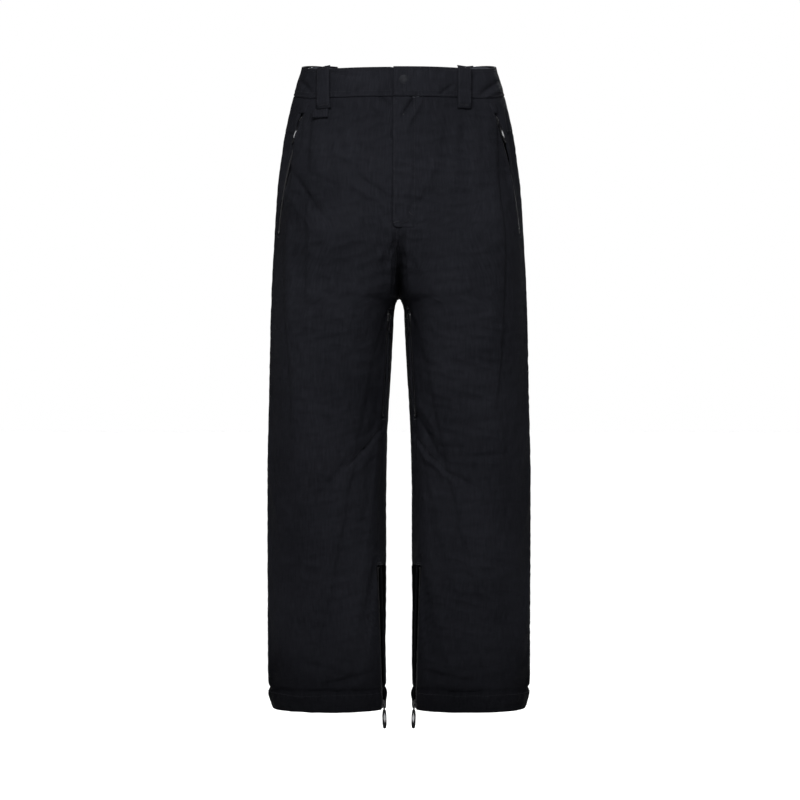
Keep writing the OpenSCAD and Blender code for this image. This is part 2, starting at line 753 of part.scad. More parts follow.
leg_puller_left();
leg_slider_right();
leg_puller_right();
back_flap_left();
back_flap_right();
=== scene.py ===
import math

import bpy
import numpy as np
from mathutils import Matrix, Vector


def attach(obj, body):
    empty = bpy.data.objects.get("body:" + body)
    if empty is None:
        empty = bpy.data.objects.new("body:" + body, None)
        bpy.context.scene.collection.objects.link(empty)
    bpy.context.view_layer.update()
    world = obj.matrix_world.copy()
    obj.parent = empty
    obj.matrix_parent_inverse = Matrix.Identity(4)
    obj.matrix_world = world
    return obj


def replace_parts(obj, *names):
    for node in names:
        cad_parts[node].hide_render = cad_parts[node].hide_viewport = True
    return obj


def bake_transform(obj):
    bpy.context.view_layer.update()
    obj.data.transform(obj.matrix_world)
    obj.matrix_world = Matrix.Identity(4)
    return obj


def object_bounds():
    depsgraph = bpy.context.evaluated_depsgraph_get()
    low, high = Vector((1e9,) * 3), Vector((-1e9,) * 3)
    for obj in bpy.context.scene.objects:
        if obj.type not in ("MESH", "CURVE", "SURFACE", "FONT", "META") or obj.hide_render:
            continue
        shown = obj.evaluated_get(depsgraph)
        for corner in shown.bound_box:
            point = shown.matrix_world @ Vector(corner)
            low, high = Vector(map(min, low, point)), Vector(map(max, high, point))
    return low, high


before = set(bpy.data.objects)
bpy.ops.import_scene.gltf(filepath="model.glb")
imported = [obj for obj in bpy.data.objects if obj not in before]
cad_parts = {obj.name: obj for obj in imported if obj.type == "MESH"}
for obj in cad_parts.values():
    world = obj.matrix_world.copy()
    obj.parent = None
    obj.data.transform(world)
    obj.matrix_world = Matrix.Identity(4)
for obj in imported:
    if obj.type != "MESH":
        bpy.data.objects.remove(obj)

# Insulated ski pants hanging from the waist. Lengths in the garment block are millimetres,
# as in the CAD, and every mesh is written in metres.
cad_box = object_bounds()
MM = 0.001

# ---------------------------------------------------------------- garment block

CROTCH = -366.0
THIGH_END = -596.0
SHIN_START = -786.0
LEG_ZIP_TOP = -800.0
HEM = -1035.0
HEM_FOLD = -1000.0
VENT_TOP, VENT_END = -386.0, -560.0
YOKE = -104.0
BAND = -47.5
FLY_END = -250.0
FULLNESS = 0.9
BACK_RISE = 22.0
VENT_TURN, LEG_TURN, LEG_LOW = 0.25, 0.32, 0.2

OUTER = [(-1035, 209), (-1026, 212), (-1010, 214), (-632, 214), (-582, 212.6), (-509, 211),
         (-411, 209.2), (-338, 207), (-264, 202.8), (-191, 198.8), (-142, 192.7), (-117, 189.4),
         (-93, 185.3), (-60, 178), (-39, 173.1), (-14, 166.6), (5, 160), (22, 157)]
INNER = [(-1035, 21.2), (-681, 21.2), (-632, 20.2), (-583, 18.8), (-534, 16.3), (-485, 13.2),
         (-436, 10.6), (-387, 8.2), (-378, 6.4), (-372, 4.6), (-368, 2.6), (-366, 0), (22, 0)]
FRONT = [(-1035, 62), (-900, 73), (-790, 82), (-680, 93), (-583, 101), (-509, 109),
         (-411, 119), (-338, 124), (-262, 126), (0, 94), (22, 91.3)]
BACK = [(-1035, 84), (-900, 86), (-680, 84), (-583, 94), (-509, 106), (-411, 128), (-338, 150),
        (-270, 163), (-220, 165), (-160, 155), (-100, 136), (-49, 117), (0, 106), (22, 103)]
SIDE = [(-1035, 10), (-790, 0), (-680, -4), (-583, -2), (-411, 4), (-338, 8), (-190, 12), (22, 4)]
CENTRE = [(-1035, 117.6), (-790, 117.6), (-582, 115.8), (-411, 109.5), (-338, 104),
          (-190, 98), (-49, 90), (22, 86)]


def eased(points, soft):
    """The table as a smooth curve: its straight lines rounded over about soft millimetres."""
    z = np.arange(-1120.0, 100.0, 1.0)
    zp, vp = zip(*points)
    flat = np.interp(z, zp, vp)
    reach = int(soft * 3) + 1
    kernel = np.exp(-0.5 * (np.arange(-reach, reach + 1) / soft) ** 2)
    kernel /= kernel.sum()
    smooth = np.convolve(np.pad(flat, reach, mode="edge"), kernel, mode="valid")
    return lambda q: np.interp(q, z, smooth)


outer_w, inner_w = eased(OUTER, 4), eased(INNER, 1.5)
front_d, back_d = eased(FRONT, 14), eased(BACK, 14)
side_y, centre_x = eased(SIDE, 14), eased(CENTRE, 14)


def ease(t):
    """Smooth step from 0 to 1."""
    t = np.clip(t, 0, 1)
    return t * t * (3 - 2 * t)


def full(v):
    return np.maximum(v, 0) ** FULLNESS


def inner_quarter(u, xi, xc, yi, ye, k):
    """A quarter of the leg next to the inseam: flat where k is 0, round where it is 1."""
    s, c = np.sin(u * math.pi / 2), np.cos(u * math.pi / 2)
    flat_x, flat_y = xi + (xc - xi) * u, yi + (ye - yi) * s ** 2
    round_x, round_y = xc - (xc - xi) * full(c), yi + (ye - yi) * full(s)
    return flat_x + (round_x - flat_x) * k, flat_y + (round_y - flat_y) * k


def half_point(a, z):
    """Outer face of the left half, for a turn a from 0 (front) over 2 (side) to 4 (back)."""
    xo, yf, yb, yc, xc = outer_w(z), front_d(z), back_d(z), side_y(z), centre_x(z)
    xi = np.where(z >= CROTCH, 0, inner_w(z))
    t = a * math.pi / 4
    hip_x = xo * full(np.where(a <= 2, np.sin(t), np.cos(t - math.pi / 2)))
    hip_y = np.where(a <= 2, yc - (yc + yf) * full(np.cos(t)),
                     yc + (yb - yc) * full(np.sin(t - math.pi / 2)))
    hf, hb = np.clip((z - CROTCH) / 104, 0, 1), np.clip((z - CROTCH) / 150, 0, 1)
    yif = 10 - (yf + 10) * np.sqrt(1 - (1 - hf) ** 2)
    yib = 10 + (yb - 10) * np.sqrt(1 - (1 - hb) ** 2)
    k = ease(1 - (z - CROTCH) / 80)
    x0, y0 = inner_quarter(a, xi, xc, yif, -yf, k)
    x3, y3 = inner_quarter(4 - a, xi, xc, yib, yb, k)
    q = math.pi / 2
    x1, y1 = xc + (xo - xc) * full(np.sin(q * (a - 1))), yc - (yc + yf) * full(np.cos(q * (a - 1)))
    x2, y2 = xc + (xo - xc) * full(np.cos(q * (a - 2))), yc + (yb - yc) * full(np.sin(q * (a - 2)))
    pick = [a <= 1, a <= 2, a <= 3]
    leg_x, leg_y = np.select(pick, [x0, x1, x2], x3), np.select(pick, [y0, y1, y2], y3)
    m = ease((-z - 150) / 150)
    return np.stack([hip_x + (leg_x - hip_x) * m, hip_y + (leg_y - hip_y) * m, z], -1)


def block_point(a, z):
    """As half_point, mirrored past the centre above the crotch and wrapped round the leg below."""
    a, z = np.broadcast_arrays(np.asarray(a, float), np.asarray(z, float))
    below = z < CROTCH
    folded = np.where(a < 0, -a, np.where(a > 4, 8 - a, a))
    p = half_point(np.where(below, np.mod(a, 4.0), folded), z)
    flip = ~below & ((a < 0) | (a > 4))
    p[..., 0] = np.where(flip, -p[..., 0], p[..., 0])
    return p


def rise(a, row):
    """How much higher the cloth's rows run at the back than at the front."""
    turn = np.where(a > 4, 8 - a, np.abs(a))
    return BACK_RISE * ease((turn - 0.85) / 2) * np.clip((row + 230) / 180, 0, 1)


def skin(a, row):
    """The undraped outer face at a turn and row."""
    return block_point(a, row + rise(a, row))


def unit(v):
    return v / np.maximum(np.linalg.norm(v, axis=-1, keepdims=True), 1e-9)


# ---------------------------------------------------------------- drape

ROW_STEP = 5.5
COLS = 116
DRAPE_LIMIT = 3.6
CLOTH_FRAMES = 24
rows_sim = np.arange(HEM, 0.01, ROW_STEP)
turns_sim = np.linspace(0, 4, COLS + 1)


def cubic(grid, u, v):
    """Catmull-Rom value of a (rows, cols, 3) grid at fractional row u and column v."""
    def weights(f):
        return [0.5 * (-f + 2 * f * f - f ** 3), 0.5 * (2 - 5 * f * f + 3 * f ** 3),
                0.5 * (f + 4 * f * f - 3 * f ** 3), 0.5 * (f ** 3 - f * f)]
    n, m = grid.shape[:2]
    u, v = np.clip(u, 0, n - 1.001), np.clip(v, 0, m - 1.001)
    iu, iv = np.floor(u).astype(int), np.floor(v).astype(int)
    wu, wv = weights(u - iu), weights(v - iv)
    total = 0
    for r in range(4):
        rr = np.clip(iu + r - 1, 0, n - 1)
        for c in range(4):
            cc = np.clip(iv + c - 1, 0, m - 1)
            total = total + (wu[r] * wv[c])[..., None] * grid[rr, cc]
    return total


def blurred(field, row_sigma, col_sigma):
    """Gaussian blur of a grid of vectors, its edges held."""
    for axis, sigma in ((0, row_sigma), (1, col_sigma)):
        reach = int(3 * sigma) + 1
        kernel = np.exp(-0.5 * (np.arange(-reach, reach + 1) / sigma) ** 2)
        kernel /= kernel.sum()
        pad = [(0, 0)] * 3
        pad[axis] = (reach, reach)
        wide = np.pad(field, pad, mode="edge")
        size = field.shape[axis]
        field = sum(w * np.take(wide, range(k, k + size), axis=axis) for k, w in enumerate(kernel))
    return field


def waves(seed, points, sizes, stretch=(1, 1, 1)):
    """Sum of smooth sine waves in seeded directions, about -1 to 1."""
    local = np.random.default_rng(seed)
    total = np.zeros(points.shape[:-1])
    for size in sizes:
        for _ in range(5):
            k = local.normal(size=3)
            k = k / np.linalg.norm(k) * np.array(stretch) * 2 * math.pi / size
            total += np.sin(points @ k + local.uniform(0, 2 * math.pi))
    return total / (2.2 * math.sqrt(5 * len(sizes) / 2))


def near(distance, width):
    """1 at no distance, falling straight to 0 at the width."""
    return np.clip(1 - np.abs(distance) / width, 0, 1)


def pin_weights(a, row):
    """1 where the shell is sewn to something firm, falling to 0 in the open cloth."""
    w = np.clip((row - (BAND - 10)) / 8, 0, 1)
    above = row >= CROTCH - 4
    w = np.maximum(w, np.where(above, np.maximum(near(a, 0.03), near(4 - a, 0.03)), 0))
    w = np.maximum(w, near(row - HEM, 9))
    w = np.maximum(w, 0.5 * near(a - 2, 0.04))
    w = np.maximum(w, np.where((row > FLY_END - 8) & (a < 0.26), 0.9, 0))
    w = np.maximum(w, np.where((row < VENT_TOP + 10) & (row > VENT_END - 10), near(a - VENT_TURN, 0.05), 0))
    return np.maximum(w, np.where(row < LEG_ZIP_TOP + 8, near(a - LEG_TURN + 0.06, 0.12), 0))


def cloth_object(start, cut_shape, pins, faces):
    """Mesh at the start points, with its pins and a shape key for the size it is cut to."""
    mesh = bpy.data.meshes.new("drape")
    mesh.from_pydata((start.reshape(-1, 3) * MM).tolist(), [], faces.reshape(-1, 4).tolist())
    obj = bpy.data.objects.new("drape", mesh)
    bpy.context.scene.collection.objects.link(obj)
    group = obj.vertex_groups.new(name="pin")
    for i, w in enumerate(pins.reshape(-1)):
        group.add([i], float(w), "REPLACE")
    obj.shape_key_add(name="worn")
    key = obj.shape_key_add(name="cut")
    key.data.foreach_set("co", (cut_shape * MM).ravel())
    return obj, key


def settled(obj, key):
    """Runs the cloth, and returns its points in millimetres once the mesh is removed."""
    modifier = obj.modifiers.new("cloth", "CLOTH")
    s = modifier.settings
    s.quality = 6
    s.mass = 0.25
    s.tension_stiffness = s.compression_stiffness = 20
    s.shear_stiffness = 8
    s.bending_stiffness = 2.5
    s.air_damping = 2
    s.vertex_group_mass = "pin"
    s.pin_stiffness = 1
    s.rest_shape_key = key
    s.use_pressure = True
    s.uniform_pressure_force = 0.3
    s.effector_weights.gravity = 0.3
    modifier.collision_settings.use_collision = False
    modifier.collision_settings.use_self_collision = False
    modifier.point_cache.frame_end = CLOTH_FRAMES
    for f in range(1, CLOTH_FRAMES + 1):
        bpy.context.scene.frame_set(f)
    evaluated = obj.evaluated_get(bpy.context.evaluated_depsgraph_get())
    mesh = obj.data
    points = np.empty(len(mesh.vertices) * 3)
    evaluated.data.vertices.foreach_get("co", points)
    bpy.data.objects.remove(obj)
    bpy.data.meshes.remove(mesh)
    bpy.context.scene.frame_set(1)
    return points / MM


def simulate(seed):
    """Cloth simulation of one half of the shell, cut a little too long, filled with air and sewn
    down along its seams. Returns how far each point of the grid moved."""
    A, R = np.meshgrid(turns_sim, rows_sim)
    base = skin(A, R)
    normal = unit(np.cross(skin(A, R - 2) - skin(A, R + 2), skin(A + .01, R) - skin(A - .01, R)))
    pins = pin_weights(A, R)
    start = base + normal * ((1 - pins) * waves(seed, base, (60, 90), (1, 1, 2)))[..., None]
    n, m = A.shape
    leg_rows = int(np.sum(rows_sim < CROTCH))
    index = np.arange(n * m).reshape(n, m)
    index[:leg_rows, -1] = index[:leg_rows, 0]
    faces = np.stack([index[:-1, :-1], index[:-1, 1:], index[1:, 1:], index[1:, :-1]], -1)
    middle = np.array([centre_x(R), side_y(R), R], float).transpose(1, 2, 0)
    longer = middle + (base - middle) * [1.012, 1.012, 1]
    longer[..., 2] = base[..., 2] * 1.055
    moved = settled(*cloth_object(start, longer, pins, faces)).reshape(n, m, 3)
    moved[:leg_rows, -1] = moved[:leg_rows, 0]
    shift = moved - base
    shift -= blurred(shift, 8, 8)
    size = np.linalg.norm(shift, axis=-1, keepdims=True)
    shift *= DRAPE_LIMIT * np.tanh(size / DRAPE_LIMIT) / np.maximum(size, 1e-6)
    inner = np.where(R < CROTCH + 40, np.maximum(near(A, 0.9), near(4 - A, 0.9)), 0)
    held = 0.5 + 0.35 * np.maximum(inner, near(A - 2, 0.7))
    out = np.sum(shift * normal, axis=-1)
    shift -= (normal * (np.maximum(out, 0) * held)[..., None])
    return shift * (1 - pins[..., None] ** 2) * (1 - 0.45 * inner[..., None])


def segment(p, a, b):
    """Distance in the (x, z) plane from the line a to b, how far along it, and which side."""
    a, b = np.asarray(a, float), np.asarray(b, float)
    q, d = p[..., [0, 2]], b - a
    t = np.clip(((q - a) @ d) / (d @ d), 0, 1)
    side = ((q - a) @ np.array([-d[1], d[0]])) / np.linalg.norm(d)
    return np.linalg.norm(q - (a + t[..., None] * d), axis=-1), t, side


# Creases on the front as (x, z) from, (x, z) to, width and height; x runs outwards from the
# centre plane on each half. Negative ones are valleys.
CREASES = {
    "left": [((28, -44), (3, -84), 4, -3.4), ((35, -56), (12, -100), 7, 2.6),
             ((86, -28), (64, -44), 3.5, -1.8), ((132, -40), (165, -12), 4.5, -2.0),
             ((140, -45), (170, -24), 4, 1.4), ((122, -10), (100, -40), 4, -1.4),
             ((20, -6), (8, -44), 4, 0.8),
             ((60, -150), (24, -230), 9, 1.2), ((36, -104), (24, -190), 6, -1.0),
             ((10, -200), (40, -212), 7, 0.9), ((14, -228), (60, -196), 8, -1.0),
             ((2, -262), (26, -300), 7, -1.8), ((8, -272), (40, -330), 9, 1.4),
             ((22, -546), (62, -618), 6, -1.9), ((30, -530), (72, -604), 9, 1.4),
             ((30, -606), (92, -668), 9, 1.7), ((82, -650), (125, -672), 6, -2.4),
             ((66, -606), (104, -608), 5, -1.5), ((112, -622), (176, -618), 5, -1.5),
             ((100, -630), (160, -632), 9, 1.2), ((88, -700), (130, -694), 6, -1.0),
             ((40, -970), (124, -984), 5, -1.8), ((44, -984), (110, -998), 8, 1.3),
             ((104, -966), (160, -960), 5, -1.3), ((40, -1000), (200, -1001), 5, -1.0)],
    "right": [((34, -46), (12, -64), 4, -1.8), ((44, -60), (16, -84), 6, 1.4),
              ((160, -14), (140, -38), 4.5, -1.8), ((110, -8), (60, -14), 3.5, -1.2),
              ((84, -44), (50, -30), 4, -1.0),
              ((176, -158), (118, -248), 7, -1.6), ((186, -190), (130, -270), 8, 1.4),
              ((150, -166), (100, -190), 5, -1.0), ((120, -128), (60, -160), 7, 1.0),
              ((64, -176), (10, -214), 6, -1.9), ((74, -190), (12, -232), 8, 1.3),
              ((60, -214), (10, -222), 6, -1.0), ((150, -200), (110, -250), 8, -1.0),
              ((2, -262), (22, -330), 8, -1.6), ((8, -262), (44, -330), 9, 1.2),
              ((80, -625), (130, -686), 6, -2.2), ((36, -612), (88, -664), 9, 1.2),
              ((30, -560), (60, -600), 8, -0.9), ((40, -400), (90, -372), 9, -0.8),
              ((40, -970), (124, -990), 5, -1.8), ((44, -984), (110, -1000), 8, 1.3),
              ((104, -966), (160, -950), 5, -1.3), ((40, -1000), (200, -1001), 5, -1.0)],
}
DARTS = {"left": [(25, -589), (48, -622), (80, -650)], "right": [(28, -579), (52, -610), (84, -640)]}


def creases(half, p, n):
    """Folds on the front, the sunk rise seam, the hem, puckers by the leg zips and a fine crumple."""
    facing = ease(-n[..., 1] * 2.5)
    x, z = p[..., 0], p[..., 2]
    total = np.zeros(p.shape[:-1])
    for a, b, width, height in CREASES[half.side]:
        d, t, _ = segment(p, a, b)
        swell = np.sin(math.pi * np.clip(t * 0.9 + 0.05, 0, 1)) ** 0.6
        total += height * swell * (1.3 * np.exp(-(d / width) ** 2) + 0.9 * np.exp(-(d / (0.4 * width)) ** 2))
    dart = DARTS[half.side]
    for a, b in zip(dart, dart[1:]):
        d, t, side = segment(p, a, b)
        total += np.where(side < 0, 1.5, -1.0) * np.exp(-(d / 9) ** 2) - 2.4 * np.exp(-(d / 2.8) ** 2)
    rise_seam = ease((FLY_END - 6 - z) / 50) * ease((z - CROTCH) / 60)
    total -= rise_seam * (5.0 * np.exp(-(x / 13) ** 2) + 4.0 * np.exp(-(x / 3.5) ** 2))
    by_zip = np.exp(-((x - 44) / 12) ** 2) * near(z + 890, 95)
    total += 1.5 * by_zip * np.sin((z - 0.9 * x) * 2 * math.pi / 13)
    total *= facing
    hem = 0.7 * np.sin(x * 2 * math.pi / 11 + 2 * np.sin(x / 17)) * np.exp(-((z + 1011) / 8) ** 2)
    total += hem - 2.4 * np.exp(-((z - HEM_FOLD) / 3.6) ** 2) + 1.1 * np.exp(-((z + 1013) / 8) ** 2)
    total -= 3.0 * ease((-975 - z) / 70) * ease((x - 120) / 80)
    open_cloth = 0.5 * ease(-z / 12) + 0.5 * ease((BAND - 4 - z) / 20)
    ridges = 1 - 2 * np.abs(waves(half.seed + 3, p, (30, 44), (0.7, 0.7, 1.3)))
    fine = 0.6 * waves(half.seed + 5, p, (14, 22), (0.8, 0.8, 1.4)) + 1.15 * ridges
    taut = 1 - 0.75 * n[..., 0] ** 2
    return total + fine * open_cloth * taut


class Half:
    """One half of the garment, in its own left-hand frame: where its outer face lies once draped."""

    def __init__(self, side, seed):
        self.side, self.seed = side, seed
        self.sign = 1 if side == "left" else -1
        shift = simulate(seed)
        e = self.extra = 24
        wrapped = np.concatenate([shift[:, -e - 1:-1], shift, shift[:, 1:e + 1]], axis=1)
        folded = np.concatenate([shift[:, e:0:-1] * [-1, 1, 1], shift,
                                 shift[:, -2:-e - 2:-1] * [-1, 1, 1]], axis=1)
        self.shift = np.where((rows_sim >= CROTCH)[:, None, None], folded, wrapped)

    def flat(self, a, row):
        return skin(a, row) + cubic(self.shift, (row - HEM) / ROW_STEP, a * COLS / 4 + self.extra)

    def normal(self, a, row):
        a, row = np.broadcast_arrays(np.asarray(a, float), np.asarray(row, float))
        down = self.flat(a, row - 1.5) - self.flat(a, row + 1.5)
        across = self.flat(a + 0.01, row) - self.flat(a - 0.01, row)
        return unit(np.cross(down, across))

    def at(self, a, row, off=0.0):
        """Point off millimetres outside the draped face at a turn and row."""
        a, row, off = np.broadcast_arrays(*(np.asarray(v, float) for v in (a, row, off)))
        p, n = self.flat(a, row), self.normal(a, row)
        return p + n * (off + creases(self, p, n))[..., None]


class Inside(Half):
    """The undraped face, from which the deep layers are measured."""

    def __init__(self, half):
        self.side, self.seed, self.sign = half.side, half.seed, half.sign

    def flat(self, a, row):
        return skin(a, row)

    def at(self, a, row, off=0.0):
        a, row, off = np.broadcast_arrays(*(np.asarray(v, float) for v in (a, row, off)))
        return skin(a, row) + self.normal(a, row) * off[..., None]


halves = {"left": Half("left", 11), "right": Half("right", 23)}
left, right = halves["left"], halves["right"]
insides = {side: Inside(half) for side, half in halves.items()}


class Whole:
    """Both halves as one: the turn runs on past the back centre (4) to 8 at the right front."""

    seed, sign = 5, 1

    def __init__(self, parts):
        self.parts = parts

    def joined(self, call, a, row, *more):
        a, row = np.broadcast_arrays(np.asarray(a, float), np.asarray(row, float))
        one = getattr(self.parts["left"], call)(np.minimum(a, 4.0), row, *more)
        two = getattr(self.parts["right"], call)(np.minimum(8 - a, 4.0), row, *more) * [-1, 1, 1]
        return np.where((a > 4)[..., None], two, one)

    def flat(self, a, row):
        return self.joined("flat", a, row)

    def normal(self, a, row):
        return self.joined("normal", a, row)

    def at(self, a, row, off=0.0):
        return self.joined("at", a, row, off)


whole, whole_inside = Whole(halves), Whole(insides)

# ---------------------------------------------------------------- mesh tools


class Bag:
    """Points, faces and UVs gathered into one mesh, in millimetres."""

    def __init__(self):
        self.points, self.faces, self.uvs, self.count = [], [], [], 0

    def add(self, points, faces, uvs=None, sign=1):
        points = np.asarray(points, float).reshape(-1, 3) * [sign, 1, 1]
        faces = np.asarray(faces) + self.count if not isinstance(faces, list) else \
            [tuple(i + self.count for i in f) for f in faces]
        if sign < 0:
            faces = [tuple(f)[::-1] for f in faces]
        self.points.append(points)
        self.faces += [tuple(map(int, f)) for f in faces]
        self.uvs.append(np.asarray(uvs, float) if uvs is not None else points[:, [0, 2]] * MM)
        self.count += len(points)

    def object(self, name):
        mesh = bpy.data.meshes.new(name)
        mesh.from_pydata((np.concatenate(self.points) * MM).tolist(), [], self.faces)
        layer = mesh.uv_layers.new(name="cloth")
        loops = np.empty(len(mesh.loops), int)
        mesh.loops.foreach_get("vertex_index", loops)
        layer.data.foreach_set("uv", np.concatenate(self.uvs)[loops].astype(np.float32).ravel())
        mesh.shade_smooth()
        obj = bpy.data.objects.new(name, mesh)
        bpy.context.scene.collection.objects.link(obj)
        return obj


def slab_faces(n, m, ring=False):
    """Faces of a closed slab whose outer and inner grids have n rows and m columns."""
    o = np.arange(n * m).reshape(n, m)
    i = o + n * m
    if ring:
        o, i = (np.concatenate([g, g[:, :1]], axis=1) for g in (o, i))

    def quads(g):
        return np.stack([g[:-1, :-1], g[:-1, 1:], g[1:, 1:], g[1:, :-1]], -1).reshape(-1, 4)

    def rim(p, q):
        return np.stack([p[:-1], p[1:], q[1:], q[:-1]], -1)[:, ::-1]
    faces = [quads(o)[:, ::-1], quads(i), rim(o[0], i[0])[:, ::-1], rim(o[-1], i[-1])]
    if not ring:
        faces += [rim(o[:, 0], i[:, 0]), rim(o[:, -1], i[:, -1])[:, ::-1]]
    return np.concatenate(faces)


def edge_steps(length, step, fine=(0, 0.5, 1.1, 1.8, 2.5, 3.2, 5)):
    """Places along a length: fine near both ends, even in between."""
    if length < 24:
        return np.linspace(0, length, max(4, int(length / 1.6) + 1))
    count = max(2, int(round((length - 2 * fine[-1]) / step)))
    inner = np.linspace(fine[-1], length - fine[-1], count + 1)[1:-1]
    return np.concatenate([fine, inner, length - np.array(fine)[::-1]])


def rounded_edge(distance, depth=1.3, width=2.6):
    """How far a turned-in edge dips, at a distance from it."""
    t = np.clip(1 - distance / width, 0, 1)
    return -depth * (1 - np.sqrt(1 - t ** 2 * 0.98))


def cloth_uv(points):
    """UVs in metres along the cloth, from a grid of points."""
    across = np.linalg.norm(np.diff(points, axis=1), axis=-1).mean(axis=0)
    down = np.linalg.norm(np.diff(points, axis=0), axis=-1).mean(axis=1)
    u = np.concatenate([[0], np.cumsum(across)]) * MM
    v = -np.concatenate([[0], np.cumsum(down)]) * MM
    U, V = np.meshgrid(u, v)
    return np.stack([U, V], -1).reshape(-1, 2)


def panel(bag, half, top, bottom, lo, hi, off=0.0, thick=2.6, step=5.0, dips=(1, 1, 1, 1),
          pucker=0.35, stitch=2.5, edge=1.3):
    """Adds a padded panel between two rows and two turns, with its edges turned into the seams.
    off is a number or a function of turns and rows; dips are left, right, top and bottom."""
    rows = top - edge_steps(top - bottom, step)
    a0, a1 = lo(rows), hi(rows)
    sample = half.flat(np.linspace(0, 1, 60)[None, :] * (a1 - a0)[:, None] + a0[:, None],
                       np.broadcast_to(rows[:, None], (len(rows), 60)))
    widths = np.linalg.norm(np.diff(sample, axis=1), axis=-1).sum(axis=1)
    typical = float(np.median(widths))
    cols = edge_steps(typical, step) / typical
    turns = a0[:, None] + (a1 - a0)[:, None] * cols[None, :]
    R = np.broadcast_to(rows[:, None], turns.shape)
    ends = (cols[None, :] * widths[:, None], (1 - cols)[None, :] * widths[:, None], top - R, R - bottom)
    dip = np.zeros(turns.shape)
    wave = waves(half.seed + 9, half.flat(turns, R), (9, 13, 17), (1, 1, 1))
    for keep, d in zip(dips, ends):
        if keep:
            dip = np.minimum(dip, rounded_edge(d, edge)) - 0.35 * np.exp(-((d - stitch) / 0.6) ** 2)
            dip = dip + pucker * wave * np.exp(-(d / 11) ** 2) * np.clip(d / 2, 0, 1)
    lift = off(turns, R) if callable(off) else off
    face = half.at(turns, R, lift + dip)
    back = half.at(turns, R, lift - thick)
    uv = cloth_uv(face)
    bag.add(np.concatenate([face.reshape(-1, 3), back.reshape(-1, 3)]), slab_faces(*turns.shape),
            np.concatenate([uv, uv]), half.sign)
    return bag


def ribbon(bag, centre, normal, width, thick, sign=1, crown=0.25):
    """Adds a flat strip along a line of points, its face towards the normals."""
    along = unit(np.gradient(centre, axis=0))
    across = unit(np.cross(normal, along))
    side = np.linspace(-1, 1, 7)
    bulge = crown * thick * (1 - side ** 4) - crown * thick
    grid = centre[:, None] + across[:, None] * (side[None, :, None] * (width / 2))
    top = grid + normal[:, None] * (thick / 2 + bulge)[None, :, None]
    low = grid - normal[:, None] * (thick / 2)
    uv = cloth_uv(top)
    bag.add(np.concatenate([top.reshape(-1, 3), low.reshape(-1, 3)]), slab_faces(len(centre), 7),
            np.concatenate([uv, uv]), sign)


THREAD_R = 0.24
OFF_AXIS = np.array([0.31, 0.17, 0.93])
CAPSULE = [(k * 6 + j, k * 6 + (j + 1) % 6, k * 6 + 6 + (j + 1) % 6, k * 6 + 6 + j)
           for k in range(3) for j in range(6)] + [(5, 4, 3, 2, 1, 0), (18, 19, 20, 21, 22, 23)]


def capsules(bag, p, q, n, r, sign=1, arch=0.8):
    """Adds six-sided capsules from points p to points q, arched along the normals n."""
    d = unit(q - p)
    s = unit(np.cross(n, d))
    rings = []
    for t, k in ((0.02, 0.35), (0.25, 0.95), (0.75, 0.95), (0.98, 0.35)):
        lift = math.sin(math.pi * t) * r * arch
        for j in range(6):
            w = j * math.pi / 3
            rings.append(p + (q - p) * t + n * (lift + math.sin(w) * r * k) + s * (math.cos(w) * r * k))
    points = np.stack(rings, 1).reshape(-1, 3)
    faces = [tuple(i + 24 * k for i in f) for k in range(len(p)) for f in CAPSULE]
    bag.add(points, faces, None, sign)


def resample(line, other, pitch, start=0.0):
    """Points every pitch millimetres along a line, with the other array's values there."""
    s = np.concatenate([[0], np.cumsum(np.linalg.norm(np.diff(line, axis=0), axis=1))])
    at = np.arange(start, s[-1], pitch)
    pick = lambda values: np.stack([np.interp(at, s, values[:, i]) for i in range(3)], -1)
    return pick(line), unit(pick(other))


def stitch(bag, line, normals, sign=1, length=2.6, gap_length=0.7, radius=THREAD_R):
    """Adds a row of stitches along a line on the cloth."""
    p, n = resample(line, normals, length + gap_length, 0.3)
    q, _ = resample(line, normals, length + gap_length, 0.3 + length)
    count = min(len(p), len(q))
    if count:
        capsules(bag, p[:count], q[:count], n[:count], radius, sign)


def sewn(bag, half, a, row, off=0.0):
    """Adds stitches along turns and rows of the cloth."""
    a, row = np.broadcast_arrays(np.asarray(a, float), np.asarray(row, float))
    stitch(bag, half.at(a, row, off), half.normal(a, row), half.sign)


def loop_of_cord(bag, path, radius, sign, sides=8):
    """Adds a closed loop of round cord along a path."""
    along = unit(np.roll(path, -1, 0) - np.roll(path, 1, 0))
    one = unit(np.cross(along, OFF_AXIS))
    two = np.cross(along, one)
    w = np.linspace(0, 2 * math.pi, sides, endpoint=False)[None, :, None]
    ring = path[:, None] + radius * (np.cos(w) * one[:, None] + np.sin(w) * two[:, None])
    now = np.arange(len(path) * sides).reshape(-1, sides)
    after = np.roll(now, -1, 0)
    faces = np.stack([now, after, np.roll(after, -1, 1), np.roll(now, -1, 1)], -1).reshape(-1, 4)
    bag.add(ring.reshape(-1, 3), faces[:, ::-1], None, sign)


def rings_joined(count, sides):
    """Faces of a closed solid made of rings of points, one after the other."""
    index = np.arange(count * sides).reshape(count, sides)
    walls = np.stack([index[:-1], np.roll(index[:-1], -1, 1), np.roll(index[1:], -1, 1), index[1:]], -1)
    return [tuple(f) for f in walls.reshape(-1, 4)] + [tuple(index[0][::-1]), tuple(index[-1])]


def turned(bag, profile, axes, sides=48):
    """Adds a turned shape from (radius, height) points, in a frame of (origin, x, y, z)."""
    o, x, y, z = axes
    w = np.linspace(0, 2 * math.pi, sides, endpoint=False)
    points = np.concatenate([o + r * (np.cos(w)[:, None] * x + np.sin(w)[:, None] * y) + h * z
                             for r, h in profile])
    bag.add(points, rings_joined(len(profile), sides))
    return bag


